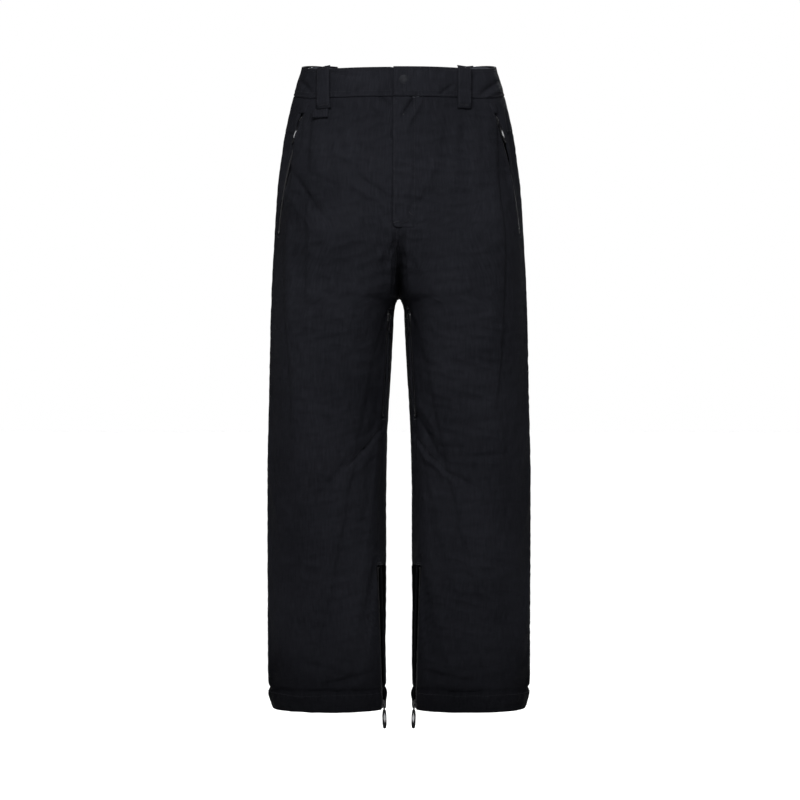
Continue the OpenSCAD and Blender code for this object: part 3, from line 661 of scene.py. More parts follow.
def moulded(bag, outline, levels, axes, sign=1):
    """Adds a moulded plate: the outline, scaled in about its middle, at each (scale, height)."""
    o, x, y, z = axes
    outline = np.asarray(outline, float)
    mid = (outline.max(0) + outline.min(0)) / 2
    size = outline.max(0) - mid
    rings = []
    for inset, h in levels:
        k = 1 - inset / size
        q = mid + (outline - mid) * k
        rings.append(o + q[:, :1] * x + q[:, 1:] * y + h * z)
    bag.add(np.concatenate(rings), rings_joined(len(levels), len(outline)), None, sign)
    return bag


def rounded(corners, radius, steps=4):
    """Polygon with its corners rounded, counter-clockwise."""
    corners = np.asarray(corners, float)
    out = []
    for before, at, after in zip(np.roll(corners, 1, 0), corners, np.roll(corners, -1, 0)):
        r = min(radius, 0.45 * np.linalg.norm(at - before), 0.45 * np.linalg.norm(after - at))
        p, q = at + unit(before - at) * r, at + unit(after - at) * r
        for t in np.linspace(0, 1, steps + 1):
            out.append((1 - t) ** 2 * p + 2 * t * (1 - t) * at + t ** 2 * q)
    return np.array(out)


# ---------------------------------------------------------------- seam lines

POCKET_SLOT, VENT_SLOT, LEG_SLOT = 2.8, 4.0, 5.3
FLY_X = {"left": 14.0, "right": 2.0}
POCKET_ROWS, POCKET_TURNS = (-60.0, -162.0, -264.0), (1.24, 1.51, 1.76)
BACK_CENTRE = 4.003


def turns_per_mm(a, row):
    return 0.02 / np.linalg.norm(skin(a + 0.01, row) - skin(a - 0.01, row), axis=-1)


def solve_turn(test, row, lo, hi):
    """Turn at which test(point) passes zero, by halving between lo and hi."""
    lo, hi = np.full(row.shape, float(lo)), np.full(row.shape, float(hi))
    for _ in range(16):
        mid = (lo + hi) / 2
        small = test(skin(mid, row)) < 0
        lo, hi = np.where(small, mid, lo), np.where(small, hi, mid)
    return (lo + hi) / 2


def turn_at(x, row):
    """Turn on the front at which the face is x millimetres from the centre plane."""
    row = np.asarray(row, float)
    return solve_turn(lambda p: p[..., 0] - x, row, 0, 1.4)


def seam(a, mm, row):
    """The turn mm millimetres round the cloth from a turn."""
    return a + mm * turns_per_mm(a, row)


def constant(value):
    """The same value on every row."""
    return lambda row: value + 0 * row


# The pocket zip runs on a circle through three points of the side seam.
P0, P1, P2 = (skin(np.array(a), np.array(r)) for a, r in zip(POCKET_TURNS, POCKET_ROWS))
pu, pv = P1 - P0, P2 - P0
pn = np.cross(pu, pv)
pocket_c = P0 + (np.cross(pn, pu) * (pv @ pv) + np.cross(pv, pn) * (pu @ pu)) / (2 * pn @ pn)
pocket_r = float(np.linalg.norm(P0 - pocket_c))
pocket_n = unit(pn)
pocket_e1 = unit(P0 - pocket_c)
pocket_e2 = np.cross(pocket_n, pocket_e1)
pocket_sweep = 2 * math.asin(np.linalg.norm(pv) / 2 / pocket_r)


def pocket_radial(t):
    t = np.asarray(t, float)[..., None]
    return np.cos(t) * pocket_e1 + np.sin(t) * pocket_e2


pocket_zs = np.linspace(-0.03, pocket_sweep + 0.03, 240)
pocket_arc = pocket_c + pocket_r * pocket_radial(pocket_zs)


def pocket_line(row):
    row = np.asarray(row, float)
    inside = np.clip(row, POCKET_ROWS[2], POCKET_ROWS[0])
    order = np.argsort(pocket_arc[:, 2])
    x, y = (np.interp(inside, pocket_arc[order, 2], pocket_arc[order, i]) for i in (0, 1))
    bearing = np.arctan2(x, -y)
    a = solve_turn(lambda p: np.arctan2(p[..., 0], -p[..., 1]) - bearing, inside, 0.2, 3.6)
    a = a + (2 - a) * np.clip((POCKET_ROWS[2] - row) / 70, 0, 1)
    return a - 0.04 * np.clip((row - POCKET_ROWS[0]) / 14, 0, 1)


def inner_line(row):
    """The seam of the vent and leg zips, from the crotch to the hem."""
    upper = VENT_TURN * np.clip((CROTCH - row) / 16, 0, 1)
    lean = (LEG_LOW - LEG_TURN) * np.clip((LEG_ZIP_TOP - row) / (LEG_ZIP_TOP - HEM), 0, 1)
    return upper + (LEG_TURN - VENT_TURN) * ease((THIGH_END - row) / (THIGH_END - SHIN_START)) + lean


def gusset_line(row):
    return 0.4 * np.clip((CROTCH - row) / 34, 0, 1) - 0.06 * ease((THIGH_END - row) / 190)


def gap(a, row, top, end, width):
    """Half of the gap at a seam, in turns: width along a zip, and a slight overlap elsewhere."""
    open_zip = ease((top - row) / 5 + 0.5) * ease((row - end) / 5 + 0.5)
    return turns_per_mm(a, row) * (-0.2 + (width + 0.2) * open_zip)


def pocket_gap(row):
    return gap(pocket_line(row), row, POCKET_ROWS[0], POCKET_ROWS[2], POCKET_SLOT)


def inner_gap(row):
    a = inner_line(row)
    vent = gap(a, row, VENT_TOP, VENT_END, VENT_SLOT)
    return np.maximum(vent, gap(a, row, LEG_ZIP_TOP, HEM - 40, LEG_SLOT))


def front_lo(side):
    """Inner edge of a front panel: the fly down to its end, the centre, then the inner leg zips."""
    def line(row):
        fly = turn_at(FLY_X[side], row) * ease((row - FLY_END) / 4 + 0.5)
        return np.where(row >= CROTCH, fly - 0.003, inner_line(row) + inner_gap(row))
    return line


def front_hi(row):
    return pocket_line(row) - pocket_gap(row)


def back_lo(row):
    return pocket_line(row) + pocket_gap(row)


def inseam(row):
    return -gusset_line(row) - 0.001


def inner_edge(row):
    return inner_line(row) - inner_gap(row)


def back_hi(row):
    return BACK_CENTRE - gusset_line(row)


# ---------------------------------------------------------------- materials


def material(name, build_nodes):
    m = bpy.data.materials.new(name)
    m.use_nodes = True
    tree = m.node_tree
    tree.nodes.clear()
    out = tree.nodes.new("ShaderNodeOutputMaterial")
    shader = tree.nodes.new("ShaderNodeBsdfPrincipled")
    tree.links.new(shader.outputs[0], out.inputs[0])
    build_nodes(tree, shader)
    return m


def node(tree, kind, **values):
    n = tree.nodes.new(kind)
    for key, value in values.items():
        setattr(n, key, value)
    return n


def noise(tree, vector, scale, detail=3.0, rough=0.5):
    n = tree.nodes.new("ShaderNodeTexNoise")
    n.inputs["Scale"].default_value = scale
    n.inputs["Detail"].default_value = detail
    n.inputs["Roughness"].default_value = rough
    tree.links.new(vector, n.inputs["Vector"])
    return n.outputs["Fac"]


def maths(tree, op, a, b=None, c=None):
    n = node(tree, "ShaderNodeMath", operation=op)
    for k, v in enumerate((a, b, c)):
        if v is None:
            continue
        if hasattr(v, "is_linked"):
            tree.links.new(v, n.inputs[k])
        else:
            n.inputs[k].default_value = v
    return n.outputs[0]


def stretched(tree, vector, scale):
    n = node(tree, "ShaderNodeMapping")
    n.inputs["Scale"].default_value = scale
    tree.links.new(vector, n.inputs["Vector"])
    return n.outputs[0]


def ramp(tree, fac, low, high, a=0.3, b=0.7):
    n = tree.nodes.new("ShaderNodeValToRGB")
    n.color_ramp.elements[0].position, n.color_ramp.elements[1].position = a, b
    n.color_ramp.elements[0].color = (*low, 1)
    n.color_ramp.elements[1].color = (*high, 1)
    tree.links.new(fac, n.inputs[0])
    return n.outputs[0]


def bump(tree, height, strength, distance, normal=None):
    n = tree.nodes.new("ShaderNodeBump")
    n.inputs["Strength"].default_value = strength
    n.inputs["Distance"].default_value = distance
    tree.links.new(height, n.inputs["Height"])
    if normal is not None:
        tree.links.new(normal, n.inputs["Normal"])
    return n.outputs[0]


def painted_shade(tree, space):
    """Painted shade, 0 to 1: darker towards the hem, at its outer lower corners and down the front crotch
    fold, where shadow falls.
    """
    def least(a, b):
        return maths(tree, "MINIMUM", a, b)

    def most(a, b):
        return maths(tree, "MAXIMUM", a, b)

    def line(value, zero, one):
        """A value's place between two limits, not clipped."""
        return maths(tree, "MULTIPLY_ADD", value, 1 / (one - zero), -zero / (one - zero))

    split = node(tree, "ShaderNodeSeparateXYZ")
    tree.links.new(space, split.inputs[0])
    _, y, z = split.outputs
    x = maths(tree, "ABSOLUTE", split.outputs[0])
    hem = least(most(line(z, -1.13, -0.9), 0.4), 1.0)
    corner = least(most(most(line(x, 0.232, 0.186), line(z, -1.03, -0.93)), 0.4), 1.0)
    crotch = least(most(most(line(x, -0.001, 0.0135), line(z, -0.34, -0.25)), line(y, 0.0, 0.07)), 1.0)
    return maths(tree, "MULTIPLY", maths(tree, "MULTIPLY", hem, corner), crotch)


def woven(name, low, high, period=0.0009, slub=0.55, rough=0.9, sheen=0.0, weave=0.7, spec=0.01,
          crumple=0.8):
    """Plain weave with a soft vertical slub and a fine crumple, its colour darkened by painted shade towards
    the hem, at the outer lower corners and down the front crotch fold.
    """
    def nodes_of(tree, shader):
        uv = node(tree, "ShaderNodeUVMap", uv_map="cloth").outputs[0]
        space = node(tree, "ShaderNodeTexCoord").outputs["Object"]
        split = node(tree, "ShaderNodeSeparateXYZ")
        tree.links.new(uv, split.inputs[0])
        k = 2 * math.pi / period
        su = maths(tree, "SINE", maths(tree, "MULTIPLY", split.outputs[0], k))
        sv = maths(tree, "SINE", maths(tree, "MULTIPLY", split.outputs[1], k))
        cloth = maths(tree, "MULTIPLY", su, sv)
        streak = noise(tree, stretched(tree, uv, (520, 40, 1)), 1.0, 3.0)
        broad = noise(tree, space, 9.0, 4.0)
        soft = noise(tree, stretched(tree, space, (1, 1, 0.7)), 90.0, 5.0, 0.6)
        mix = maths(tree, "MULTIPLY_ADD", streak, slub,
                    maths(tree, "MULTIPLY", broad, 1 - slub))
        # worn holds painted shade: the colour darkens towards the hem, at the outer lower corners and down
        # the front crotch fold.
        worn = painted_shade(tree, space)
        shade = ramp(tree, worn, (0, 0, 0), (1, 1, 1), 0.0, 1.0)
        tint = node(tree, "ShaderNodeMix", data_type="RGBA", blend_type="MULTIPLY")
        tint.inputs[0].default_value = 1.0
        tree.links.new(ramp(tree, mix, low, high, 0.32, 0.68), tint.inputs[6])
        tree.links.new(shade, tint.inputs[7])
        tree.links.new(tint.outputs[2], shader.inputs["Base Color"])
        rough_out = maths(tree, "MULTIPLY_ADD", streak, 0.12, rough - 0.06)
        tree.links.new(rough_out, shader.inputs["Roughness"])
        n1 = bump(tree, soft, crumple, 0.0016)
        n2 = bump(tree, streak, 0.5, 0.00018, n1)
        n3 = bump(tree, cloth, weave, 0.00014, n2)
        tree.links.new(n3, shader.inputs["Normal"])
        shader.inputs["Specular IOR Level"].default_value = spec
        shader.inputs["Sheen Weight"].default_value = sheen
        shader.inputs["Sheen Roughness"].default_value = 0.5
        shader.inputs["Sheen Tint"].default_value = (0.75, 0.78, 1.0, 1)
    return material(name, nodes_of)


def enamel(name, low, high, rough, spec):
    """Painted metal or moulded plastic with a fine grain and a patchy wear tone."""
    def nodes_of(tree, shader):
        space = node(tree, "ShaderNodeTexCoord").outputs["Object"]
        fine = noise(tree, space, 600.0, 3.0)
        wear = noise(tree, space, 160.0, 4.0, 0.7)
        tree.links.new(ramp(tree, wear, low, high, 0.42, 0.72), shader.inputs["Base Color"])
        tree.links.new(maths(tree, "MULTIPLY_ADD", fine, 0.22, rough - 0.1), shader.inputs["Roughness"])
        tree.links.new(bump(tree, fine, 0.3, 0.00012), shader.inputs["Normal"])
        shader.inputs["Specular IOR Level"].default_value = spec
    return material(name, nodes_of)


def ribbed(name, low, high, period=0.0011, rough=0.85, spec=0.15):
    """Grosgrain or zip tape: ribs across it, with a fine thread noise."""
    def nodes_of(tree, shader):
        space = node(tree, "ShaderNodeTexCoord").outputs["Object"]
        fine = noise(tree, space, 1400.0, 2.0)
        split = node(tree, "ShaderNodeSeparateXYZ")
        tree.links.new(space, split.inputs[0])
        phase = maths(tree, "MULTIPLY", split.outputs[2], 2 * math.pi / period)
        ribs = maths(tree, "SINE", phase)
        tree.links.new(ramp(tree, fine, low, high), shader.inputs["Base Color"])
        n1 = bump(tree, ribs, 0.6, 0.00015)
        tree.links.new(bump(tree, fine, 0.3, 0.0001, n1), shader.inputs["Normal"])
        shader.inputs["Roughness"].default_value = rough
        shader.inputs["Specular IOR Level"].default_value = spec
    return material(name, nodes_of)


SHELL = woven("shell weave", (0.0026, 0.0027, 0.0035), (0.0058, 0.0060, 0.0076))
GUARD = woven("guard weave", (0.0009, 0.0009, 0.0011), (0.0016, 0.0016, 0.002), period=0.0006, slub=0.1,
              rough=0.8, sheen=0.0, weave=0.35, spec=0.0, crumple=0.2)
LINING = woven("lining taffeta", (0.016, 0.018, 0.022), (0.022, 0.024, 0.029), period=0.0005, slub=0.15,
               rough=0.6, sheen=0.02, weave=0.3, spec=0.15, crumple=0.5)
CUFF = woven("cuff ripstop", (0.006, 0.006, 0.0075), (0.009, 0.009, 0.011), period=0.004, slub=0.2,
             rough=0.65, weave=0.6, spec=0.12)
TAPE = ribbed("zip tape", (0.0016, 0.0016, 0.002), (0.0026, 0.0026, 0.0032), spec=0.0)
TRIM = ribbed("grosgrain", (0.0034, 0.0034, 0.0042), (0.0052, 0.0052, 0.0062), period=0.0016, spec=0.08)
COIL = enamel("zip coil", (0.0028, 0.0028, 0.0034), (0.0052, 0.0052, 0.0062), rough=0.42, spec=0.16)
METAL = enamel("black enamel", (0.0012, 0.0012, 0.0015), (0.006, 0.006, 0.007), rough=0.34, spec=0.2)
SNAP = enamel("snap gunmetal", (0.004, 0.0042, 0.0052), (0.0065, 0.0067, 0.008), rough=0.6, spec=0.02)
RUBBER = enamel("pull rubber", (0.0012, 0.0012, 0.0015), (0.003, 0.003, 0.0035), rough=0.55, spec=0.06)
PALE = enamel("pale print", (0.16, 0.16, 0.165), (0.24, 0.24, 0.25), rough=0.6, spec=0.1)
CORD = ribbed("pull cord", (0.0018, 0.0018, 0.0022), (0.0036, 0.0036, 0.0044), period=0.0009, spec=0.03)
THREAD_M = ribbed("thread", (0.0052, 0.0053, 0.0068), (0.008, 0.0082, 0.0104), period=0.0004,
                  rough=0.75, spec=0.1)


def dress(obj, mat):
    """Gives a piece its material."""
    obj.data.materials.clear()
    obj.data.materials.append(mat)
    return obj


def made(obj, mat, slot_name, *nodes):
    """Dresses a piece and hides the CAD nodes that it takes the place of."""
    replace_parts(dress(obj, mat), *nodes)
    return obj


def riding(bag, name, body, mat, slot_name, *nodes):
    """A piece that moves with one body, in the place of CAD nodes."""
    return made(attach(bag.object(name), body), mat, slot_name, *nodes)


# ---------------------------------------------------------------- shell

# How far each hidden layer lies inside the outer face
UNDERLAP_IN, BAND_FACING_IN, PLEAT_IN, POCKET_IN = 6.2, 7.4, 9.4, 9.8
FLY_FACING_IN, LINING_IN, CUFF_IN = 10.4, 14, 18.2


def knee(obj, side):
    """Bakes a piece's placement into its mesh."""
    middle = MM * centre_x(np.array([THIGH_END]))[0] * halves[side].sign
    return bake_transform(obj)


def fly_hinge(obj):
    """Bakes a fly piece's placement into its mesh."""
    row = np.array([-150.0])
    a, b = (left.flat(turn_at(x, row), row)[0] * MM for x in (31.5, 20.5))
    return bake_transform(obj)


def rear_flap_hinge(obj, side):
    """Bakes a rear flap's placement into its mesh."""
    scale, turn = [halves[side].sign * MM, MM, MM], np.array([sum(REAR_FLAP_TURNS) / 2])
    a, b = (halves[side].at(turn, np.array([row]))[0] * scale for row in (-128.0, -138.0))
    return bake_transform(obj)


def cut(obj):
    """Returns a sheet as it is."""
    return obj


def tucked(side):
    """The front panels lie a little deeper where the fly flap covers them."""
    reach = 27.0 if side == "left" else 12.5

    def lift(a, row):
        x = skin(a, row)[..., 0]
        return -2.4 * ease((reach - x) / 4) * ease((row + 263) / 6)
    return lift


REAR_FLAP_TURNS = (2.95, 3.6)

for side, half in halves.items():
    front = panel(Bag(), half, BAND - 0.5, HEM, front_lo(side), front_hi, off=tucked(side), step=2.4)
    front = made(knee(front.object(f"front_{side}"), side), SHELL, "shell_fabric",
                 f"front_panel_{side}", f"knee_sleeve_{side}")
    back = panel(Bag(), half, YOKE + 0.2, HEM, back_lo, back_hi, step=4.2)
    back = made(knee(back.object(f"back_{side}"), side), SHELL, "shell_fabric",
                f"back_panel_{side}", f"shin_shell_{side}")
    gusset = panel(Bag(), half, CROTCH - 3, LEG_ZIP_TOP - 0.2, inseam, inner_edge, step=4)
    gusset = made(knee(gusset.object(f"inner_leg_{side}"), side), SHELL, "shell_fabric", f"gusset_{side}")
    guard = panel(Bag(), half, LEG_ZIP_TOP + 0.2, HEM, inseam, inner_edge, thick=2.4, pucker=0.1, step=5)
    guard = riding(guard, f"guard_{side}", f"shin_{side}", GUARD, "guard_fabric", f"scuff_guard_{side}")

yoke = Bag()
for half in halves.values():
    panel(yoke, half, BAND - 0.5, YOKE - 0.2, back_lo, constant(BACK_CENTRE), step=4.2, dips=(1, 0, 1, 1))
yoke = riding(yoke, "yoke", "pants", SHELL, "shell_fabric", "back_yoke")

# Waistband, with the piece from the snapped end to the left loop made apart from it.
BAND_X, TAB_X, SPLIT_X = 3.0, 9.0, 103.0
FLAP_END = -258.0
FLAP_SIDE, FLAP_SEWN = -10.0, 29.5
BAND_SEAM_ROWS = (-4.6, -38.5, -44.6)


def at_x(x):
    """Seam line that keeps a distance from the centre plane, on the left where x is positive."""
    return lambda row: signed_turn(x + 0 * row, row)


def signed_turn(x, row):
    return np.where(x < 0, -turn_at(np.abs(x), row), turn_at(np.abs(x), row))


def band_lift(a, row):
    """The right end of the band runs on under the snapped end."""
    x = np.where(a > 6, skin(8 - a, row)[..., 0], 100.0)
    return 0.2 - 3.6 * ease((13 - x) / 4)


def tab_lift(a, row):
    """The snapped end stands out over the end of the band."""
    return 0.2 + 1.5 * ease((0.75 - a) / 0.5)


band = panel(Bag(), whole, 0.3, BAND, at_x(SPLIT_X), lambda row: 8 - turn_at(BAND_X, row), off=band_lift,
             thick=2.6, step=2.6, dips=(0, 1, 1, 1), pucker=0.8, stitch=5, edge=1.2)
band = riding(band, "band", "pants", SHELL, "shell_fabric", "waistband")
tab = panel(Bag(), whole, 0.9, BAND - 0.2, at_x(-TAB_X), at_x(SPLIT_X), off=tab_lift, thick=2.4, step=2.2,
            dips=(1, 0, 1, 1), pucker=0.6, stitch=4, edge=1.2)
tab = made(fly_hinge(tab.object("band_end")), SHELL, "shell_fabric", "waist_tab")
underlap = panel(Bag(), whole_inside, -1, BAND + 1, at_x(-TAB_X), at_x(28), off=-UNDERLAP_IN, thick=2, step=4)
underlap = riding(underlap, "underlap", "pants", SHELL, "shell_fabric", "waist_underlap")
cut(underlap)


def flap_lift(a, row):
    """Height of the fly flap: flush where it is sewn on, raised over the zip and most over the slider,
    and sunk at its lower end."""
    x = np.sign(a) * skin(np.abs(a), row)[..., 0]
    sink = ease((x - 11) / 9) * ease((-206 - row) / 34) + ease((-247 - row) / 7) * ease((x + 1) / 7)
    sink = np.clip(sink, 0, 1)
    over_slider = 0.9 * near(row + 226, 24) * ease((16 - x) / 6)
    return (-0.35 + 2.7 * ease((28 - x) / 15)) * (1 - sink) - 0.9 * sink + over_slider


def flap_edge(row):
    """The free edge of the flap, rounded in at its lower corner."""
    below = np.clip((FLAP_END + 8 - row) / 8.2, 0, 1)
    return signed_turn(FLAP_SIDE + 8 * (1 - np.sqrt(np.clip(1 - below ** 2, 0, 1))), row)


flap = panel(Bag(), whole, BAND - 1.2, FLAP_END, flap_edge, at_x(FLAP_SEWN), off=flap_lift, thick=1.7,
             step=2.2, dips=(1, 0, 0, 1), pucker=0.5, stitch=4.2, edge=1.1)
flap = made(fly_hinge(flap.object("fly_flap_cloth")), SHELL, "shell_fabric", "fly_flap")
facing = panel(Bag(), whole_inside, -54, FLY_END - 4, at_x(FLAP_SIDE), at_x(24), off=-FLY_FACING_IN,
               thick=1.4, step=6)
facing = riding(facing, "fly_facing_cloth", "pants", LINING, "lining_fabric", "fly_facing")
cut(facing)

# ---------------------------------------------------------------- loops and flaps

LOOP_ROWS = [2.6, 1.0, -2, -8, -32, -56, -62, -65.5]
LOOP_LIFTS = [3.2, 5.4, 7.0, 7.3, 7.5, 7.3, 5.6, 2.4]
LOOP_X = {"left": 102.5, "right": 118.5}
LOOP_WIDTH, LOOP_THICK = 24, 1.7
loop_thread = Bag()


def strap(bag, half, turn_line):
    """Adds a belt loop standing off the cloth, the heights of its middle smoothly joined."""
    dense = np.linspace(LOOP_ROWS[0], LOOP_ROWS[-1], 46)
    lift = np.interp(-dense, -np.array(LOOP_ROWS), LOOP_LIFTS)
    kernel = np.array([1, 3, 4, 3, 1]) / 12
    lift = np.convolve(np.pad(lift, 2, mode="edge"), kernel, mode="valid")
    a = turn_line(dense)
    centre, n = half.at(a, dense, lift), half.normal(a, dense)
    ribbon(bag, centre, n, LOOP_WIDTH, LOOP_THICK, half.sign)
    loop_stitches(centre, n, half.sign, LOOP_THICK, LOOP_WIDTH)


def loop_stitches(centre, n, sign, thick, width):
    """Two rows of stitches down a loop, and a bar tack of three at each end."""
    along = unit(np.gradient(centre, axis=0))
    across = unit(np.cross(n, along))
    inside = slice(2, -2)
    for s in (-1, 1):
        line = centre + across * (s * (width / 2 - 2.6)) + n * (thick / 2 - 0.02)
        stitch(loop_thread, line[inside], n[inside], sign)
    for k in (3, -4):
        for step in (-0.9, 0, 0.9):
            middle = centre[k] + n[k] * (thick / 2) + along[k] * step
            line = middle + across[k] * np.linspace(-width / 2 + 3, width / 2 - 3, 20)[:, None]
            stitch(loop_thread, line, np.repeat(n[k][None], 20, 0), sign, length=1.5, gap_length=0.3)


for side, half in halves.items():
    bag = Bag()
    strap(bag, half, at_x(LOOP_X[side]))
    loop = riding(bag, f"front_loop_{side}", "pants", SHELL, "shell_fabric", f"belt_loop_{side}")
    cut(loop)
bag = Bag()
for a in (3.05, 4.0, 4.95):
    strap(bag, whole, constant(a))
loops = riding(bag, "back_loops", "pants", SHELL, "shell_fabric", "belt_loops_back")
cut(loops)

# Folded tab under the right loop: a flat tube open at its outer end
TICKET_WIDTH = 28
ticket_rows = -65.0 - np.concatenate([np.linspace(0, 14, 12), 14 + 1.1 * np.sin(np.linspace(0.3, 1.5, 4)),
                                      14 - np.linspace(0.5, 12, 10)])
ticket_lifts = np.concatenate([np.linspace(2.2, 4.6, 12), 4.4 - 1.4 * np.linspace(0.2, 1, 4),
                               np.linspace(2.6, 1.3, 10)])
bag = Bag()
ta = turn_at(LOOP_X["right"] + 6, ticket_rows)
centre = right.at(ta, ticket_rows, ticket_lifts)
ticket_across = right.flat(ta + 0.01, ticket_rows) - right.flat(ta - 0.01, ticket_rows)
ticket_out = unit(np.cross(unit(np.gradient(centre, axis=0)), ticket_across))
ribbon(bag, centre, ticket_out, TICKET_WIDTH, 0.8, right.sign)
ticket = riding(bag, "ticket_tab", "pants", SHELL, "trim_tape", "ticket_loop")
cut(ticket)
stitch(loop_thread, right.at(seam(ta[:6].mean(), np.linspace(-12, 12, 20), -67.0), -67.0, 3.4),
       right.normal(np.full(20, ta[2]), np.full(20, -67.0)), -1)

# Two ribbons inside the back of the band, from its top edge down, that bow away from it
bag = Bag()
for a in (3.3, 4.7):
    rows = np.linspace(-12, -47, 24)
    lift = -9.9 - 2.6 * np.sin(math.pi * np.linspace(0, 1, 24))
    turns = np.full(24, a)
    ribbon(bag, whole_inside.at(turns, rows, lift), whole_inside.normal(turns, rows), 6, 0.8)
ribbons = riding(bag, "hanger_ribbons", "pants", TRIM, "trim_tape", "hang_loops")
cut(ribbons)

def rear_lift(row):
    return 1.2 + 1.2 * ease((-126 - row) / 16)


for side, half in halves.items():
    bag = panel(Bag(), half, -128, -176, *map(constant, REAR_FLAP_TURNS), off=lambda a, row: rear_lift(row),
                thick=1.7, step=3, stitch=4, pucker=0.3)
    flap = rear_flap_hinge(bag.object(f"rear_flap_{side}"), side)
    made(flap, SHELL, "shell_fabric", f"back_flap_{side}")

bag = Bag()
for half in halves.values():
    panel(bag, half, -56, -72, lambda row: seam(pocket_line(row), -8, row),
          lambda row: seam(pocket_line(row), 8, row), off=1.5, thick=1.7, step=2.2, stitch=1.8, edge=1.1)
garages = riding(bag, "garages", "pants", SHELL, "trim_tape", "pocket_garages")
cut(garages)

# ---------------------------------------------------------------- lining and cuffs

CUFF_TOP, CUFF_PLEATS = -860, 9
ROUND = (constant(-0.004), constant(4.004))


def cuff_off(a, row):
    """The cuff draws in to its elastic, and gathers in pleats there."""
    pleats = 0.9 * np.sin(a * 2 * math.pi * CUFF_PLEATS) * ease((-930 - row) / 60)
    return -CUFF_IN - 9 * ease((CUFF_TOP - row) / 170) + pleats


for side, half in insides.items():
    lining = panel(Bag(), half, -54, HEM + 30, *ROUND,
                   off=lambda a, row: -LINING_IN + 0.8 * waves(4, half.flat(a, row), (30, 50), (1, 1, 0.5)),
                   thick=1.1, step=8, dips=(0, 0, 0, 0))
    lining = made(knee(lining.object(f"lining_cloth_{side}"), side), LINING, "lining_fabric",
                  f"lining_{side}", f"shin_lining_{side}")
    cut(lining)
    cuff = panel(Bag(), half, CUFF_TOP, HEM + 8, *ROUND, off=cuff_off, thick=1, step=4, dips=(0, 0, 0, 1))
    cuff = riding(cuff, f"snow_cuff_{side}", f"shin_{side}", CUFF, "cuff_fabric", f"gaiter_{side}")
    cut(cuff)
    pleat = panel(Bag(), half, LEG_ZIP_TOP - 6, HEM + 2, lambda row: seam(inner_line(row), -22, row),
                  lambda row: seam(inner_line(row), 22, row), off=-PLEAT_IN, thick=1.6, step=5)
    pleat = riding(pleat, f"zip_gusset_{side}", f"shin_{side}", CUFF, "cuff_fabric", f"leg_gusset_{side}")
    cut(pleat)

bag = Bag()
for half in insides.values():
    panel(bag, half, -76, -290, constant(0.95), lambda row: pocket_line(row) + 0.02,
          off=-POCKET_IN, thick=2.2, step=8)
pockets = riding(bag, "pocket_cloth", "pants", LINING, "lining_fabric", "pocket_bags")
cut(pockets)
bag = panel(Bag(), whole_inside, -1.5, BAND - 4, at_x(33), lambda row: 8 - turn_at(11, row),
            off=-BAND_FACING_IN, thick=1.3, step=7)
band_facing = riding(bag, "band_facing", "pants", LINING, "lining_fabric", "waistband_facing")
cut(band_facing)

# ---------------------------------------------------------------- zips


def outward(a, row):
    """Outward direction of the undraped face."""
    a, row = np.asarray(a, float), np.asarray(row, float)
    return unit(np.cross(skin(a, row - 2) - skin(a, row + 2), skin(a + .01, row) - skin(a - .01, row)))


def hardware_frame(p, down, out):
    """Origin and axes of a zip part: x across the zip, y up along it, z outwards."""
    y = -unit(down)
    z = unit(out - (out @ y) * y)
    return p, np.cross(y, z), y, z


def placed(axes, points):
    o, x, y, z = axes
    points = np.asarray(points, float)
    return o + points[..., :1] * x + points[..., 1:2] * y + points[..., 2:3] * z


# Coil zips: spacing and thickness of the coil's turns, and the size of an end stop
COIL_PITCH, COIL_R = 1.7, 0.62
STOP_HALF, STOP_R = 2.6, 1.25


def zip_parts(name, body, path, normals, width, sign, cad_node):
    """Tape, two interleaved rows of coil and end stops along a path of points."""
    bag = Bag()
    ribbon(bag, path - normals * 0.7, normals, width, 0.5, sign)
    riding(bag, f"{name}_tape", body, TAPE, "zip_tape", cad_node)
    coil = Bag()
    for s in (-1, 1):
        p, n = resample(path, normals, COIL_PITCH, 1.2 + 0.42 * (1 + s))
        q, _ = resample(path, normals, COIL_PITCH, 1.6 + 0.42 * (1 + s))
        k = min(len(p), len(q))
        along = unit(q[:k] - p[:k])
        across = np.cross(n[:k], along)
        base = p[:k] + n[:k] * 0.75
        capsules(coil, base - across * s * 0.7, base + across * s * 2.3, n[:k], COIL_R, sign,
                 arch=1.0)
    for k in (1, len(path) - 3):
        along = unit(path[k + 1] - path[k])
        across = np.cross(normals[k], along)
        mid = path[k] + normals[k] * 0.9
        stop = (mid - across * STOP_HALF)[None], (mid + across * STOP_HALF)[None]
        capsules(coil, *stop, normals[k][None], STOP_R, sign)
    dress(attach(coil.object(f"{name}_coil"), body), COIL)


SLIDER = np.array([[-3.24, 5.88], [-4.5, 2.52], [-3.87, -7], [3.87, -7], [4.5, 2.52], [3.24, 5.88]])


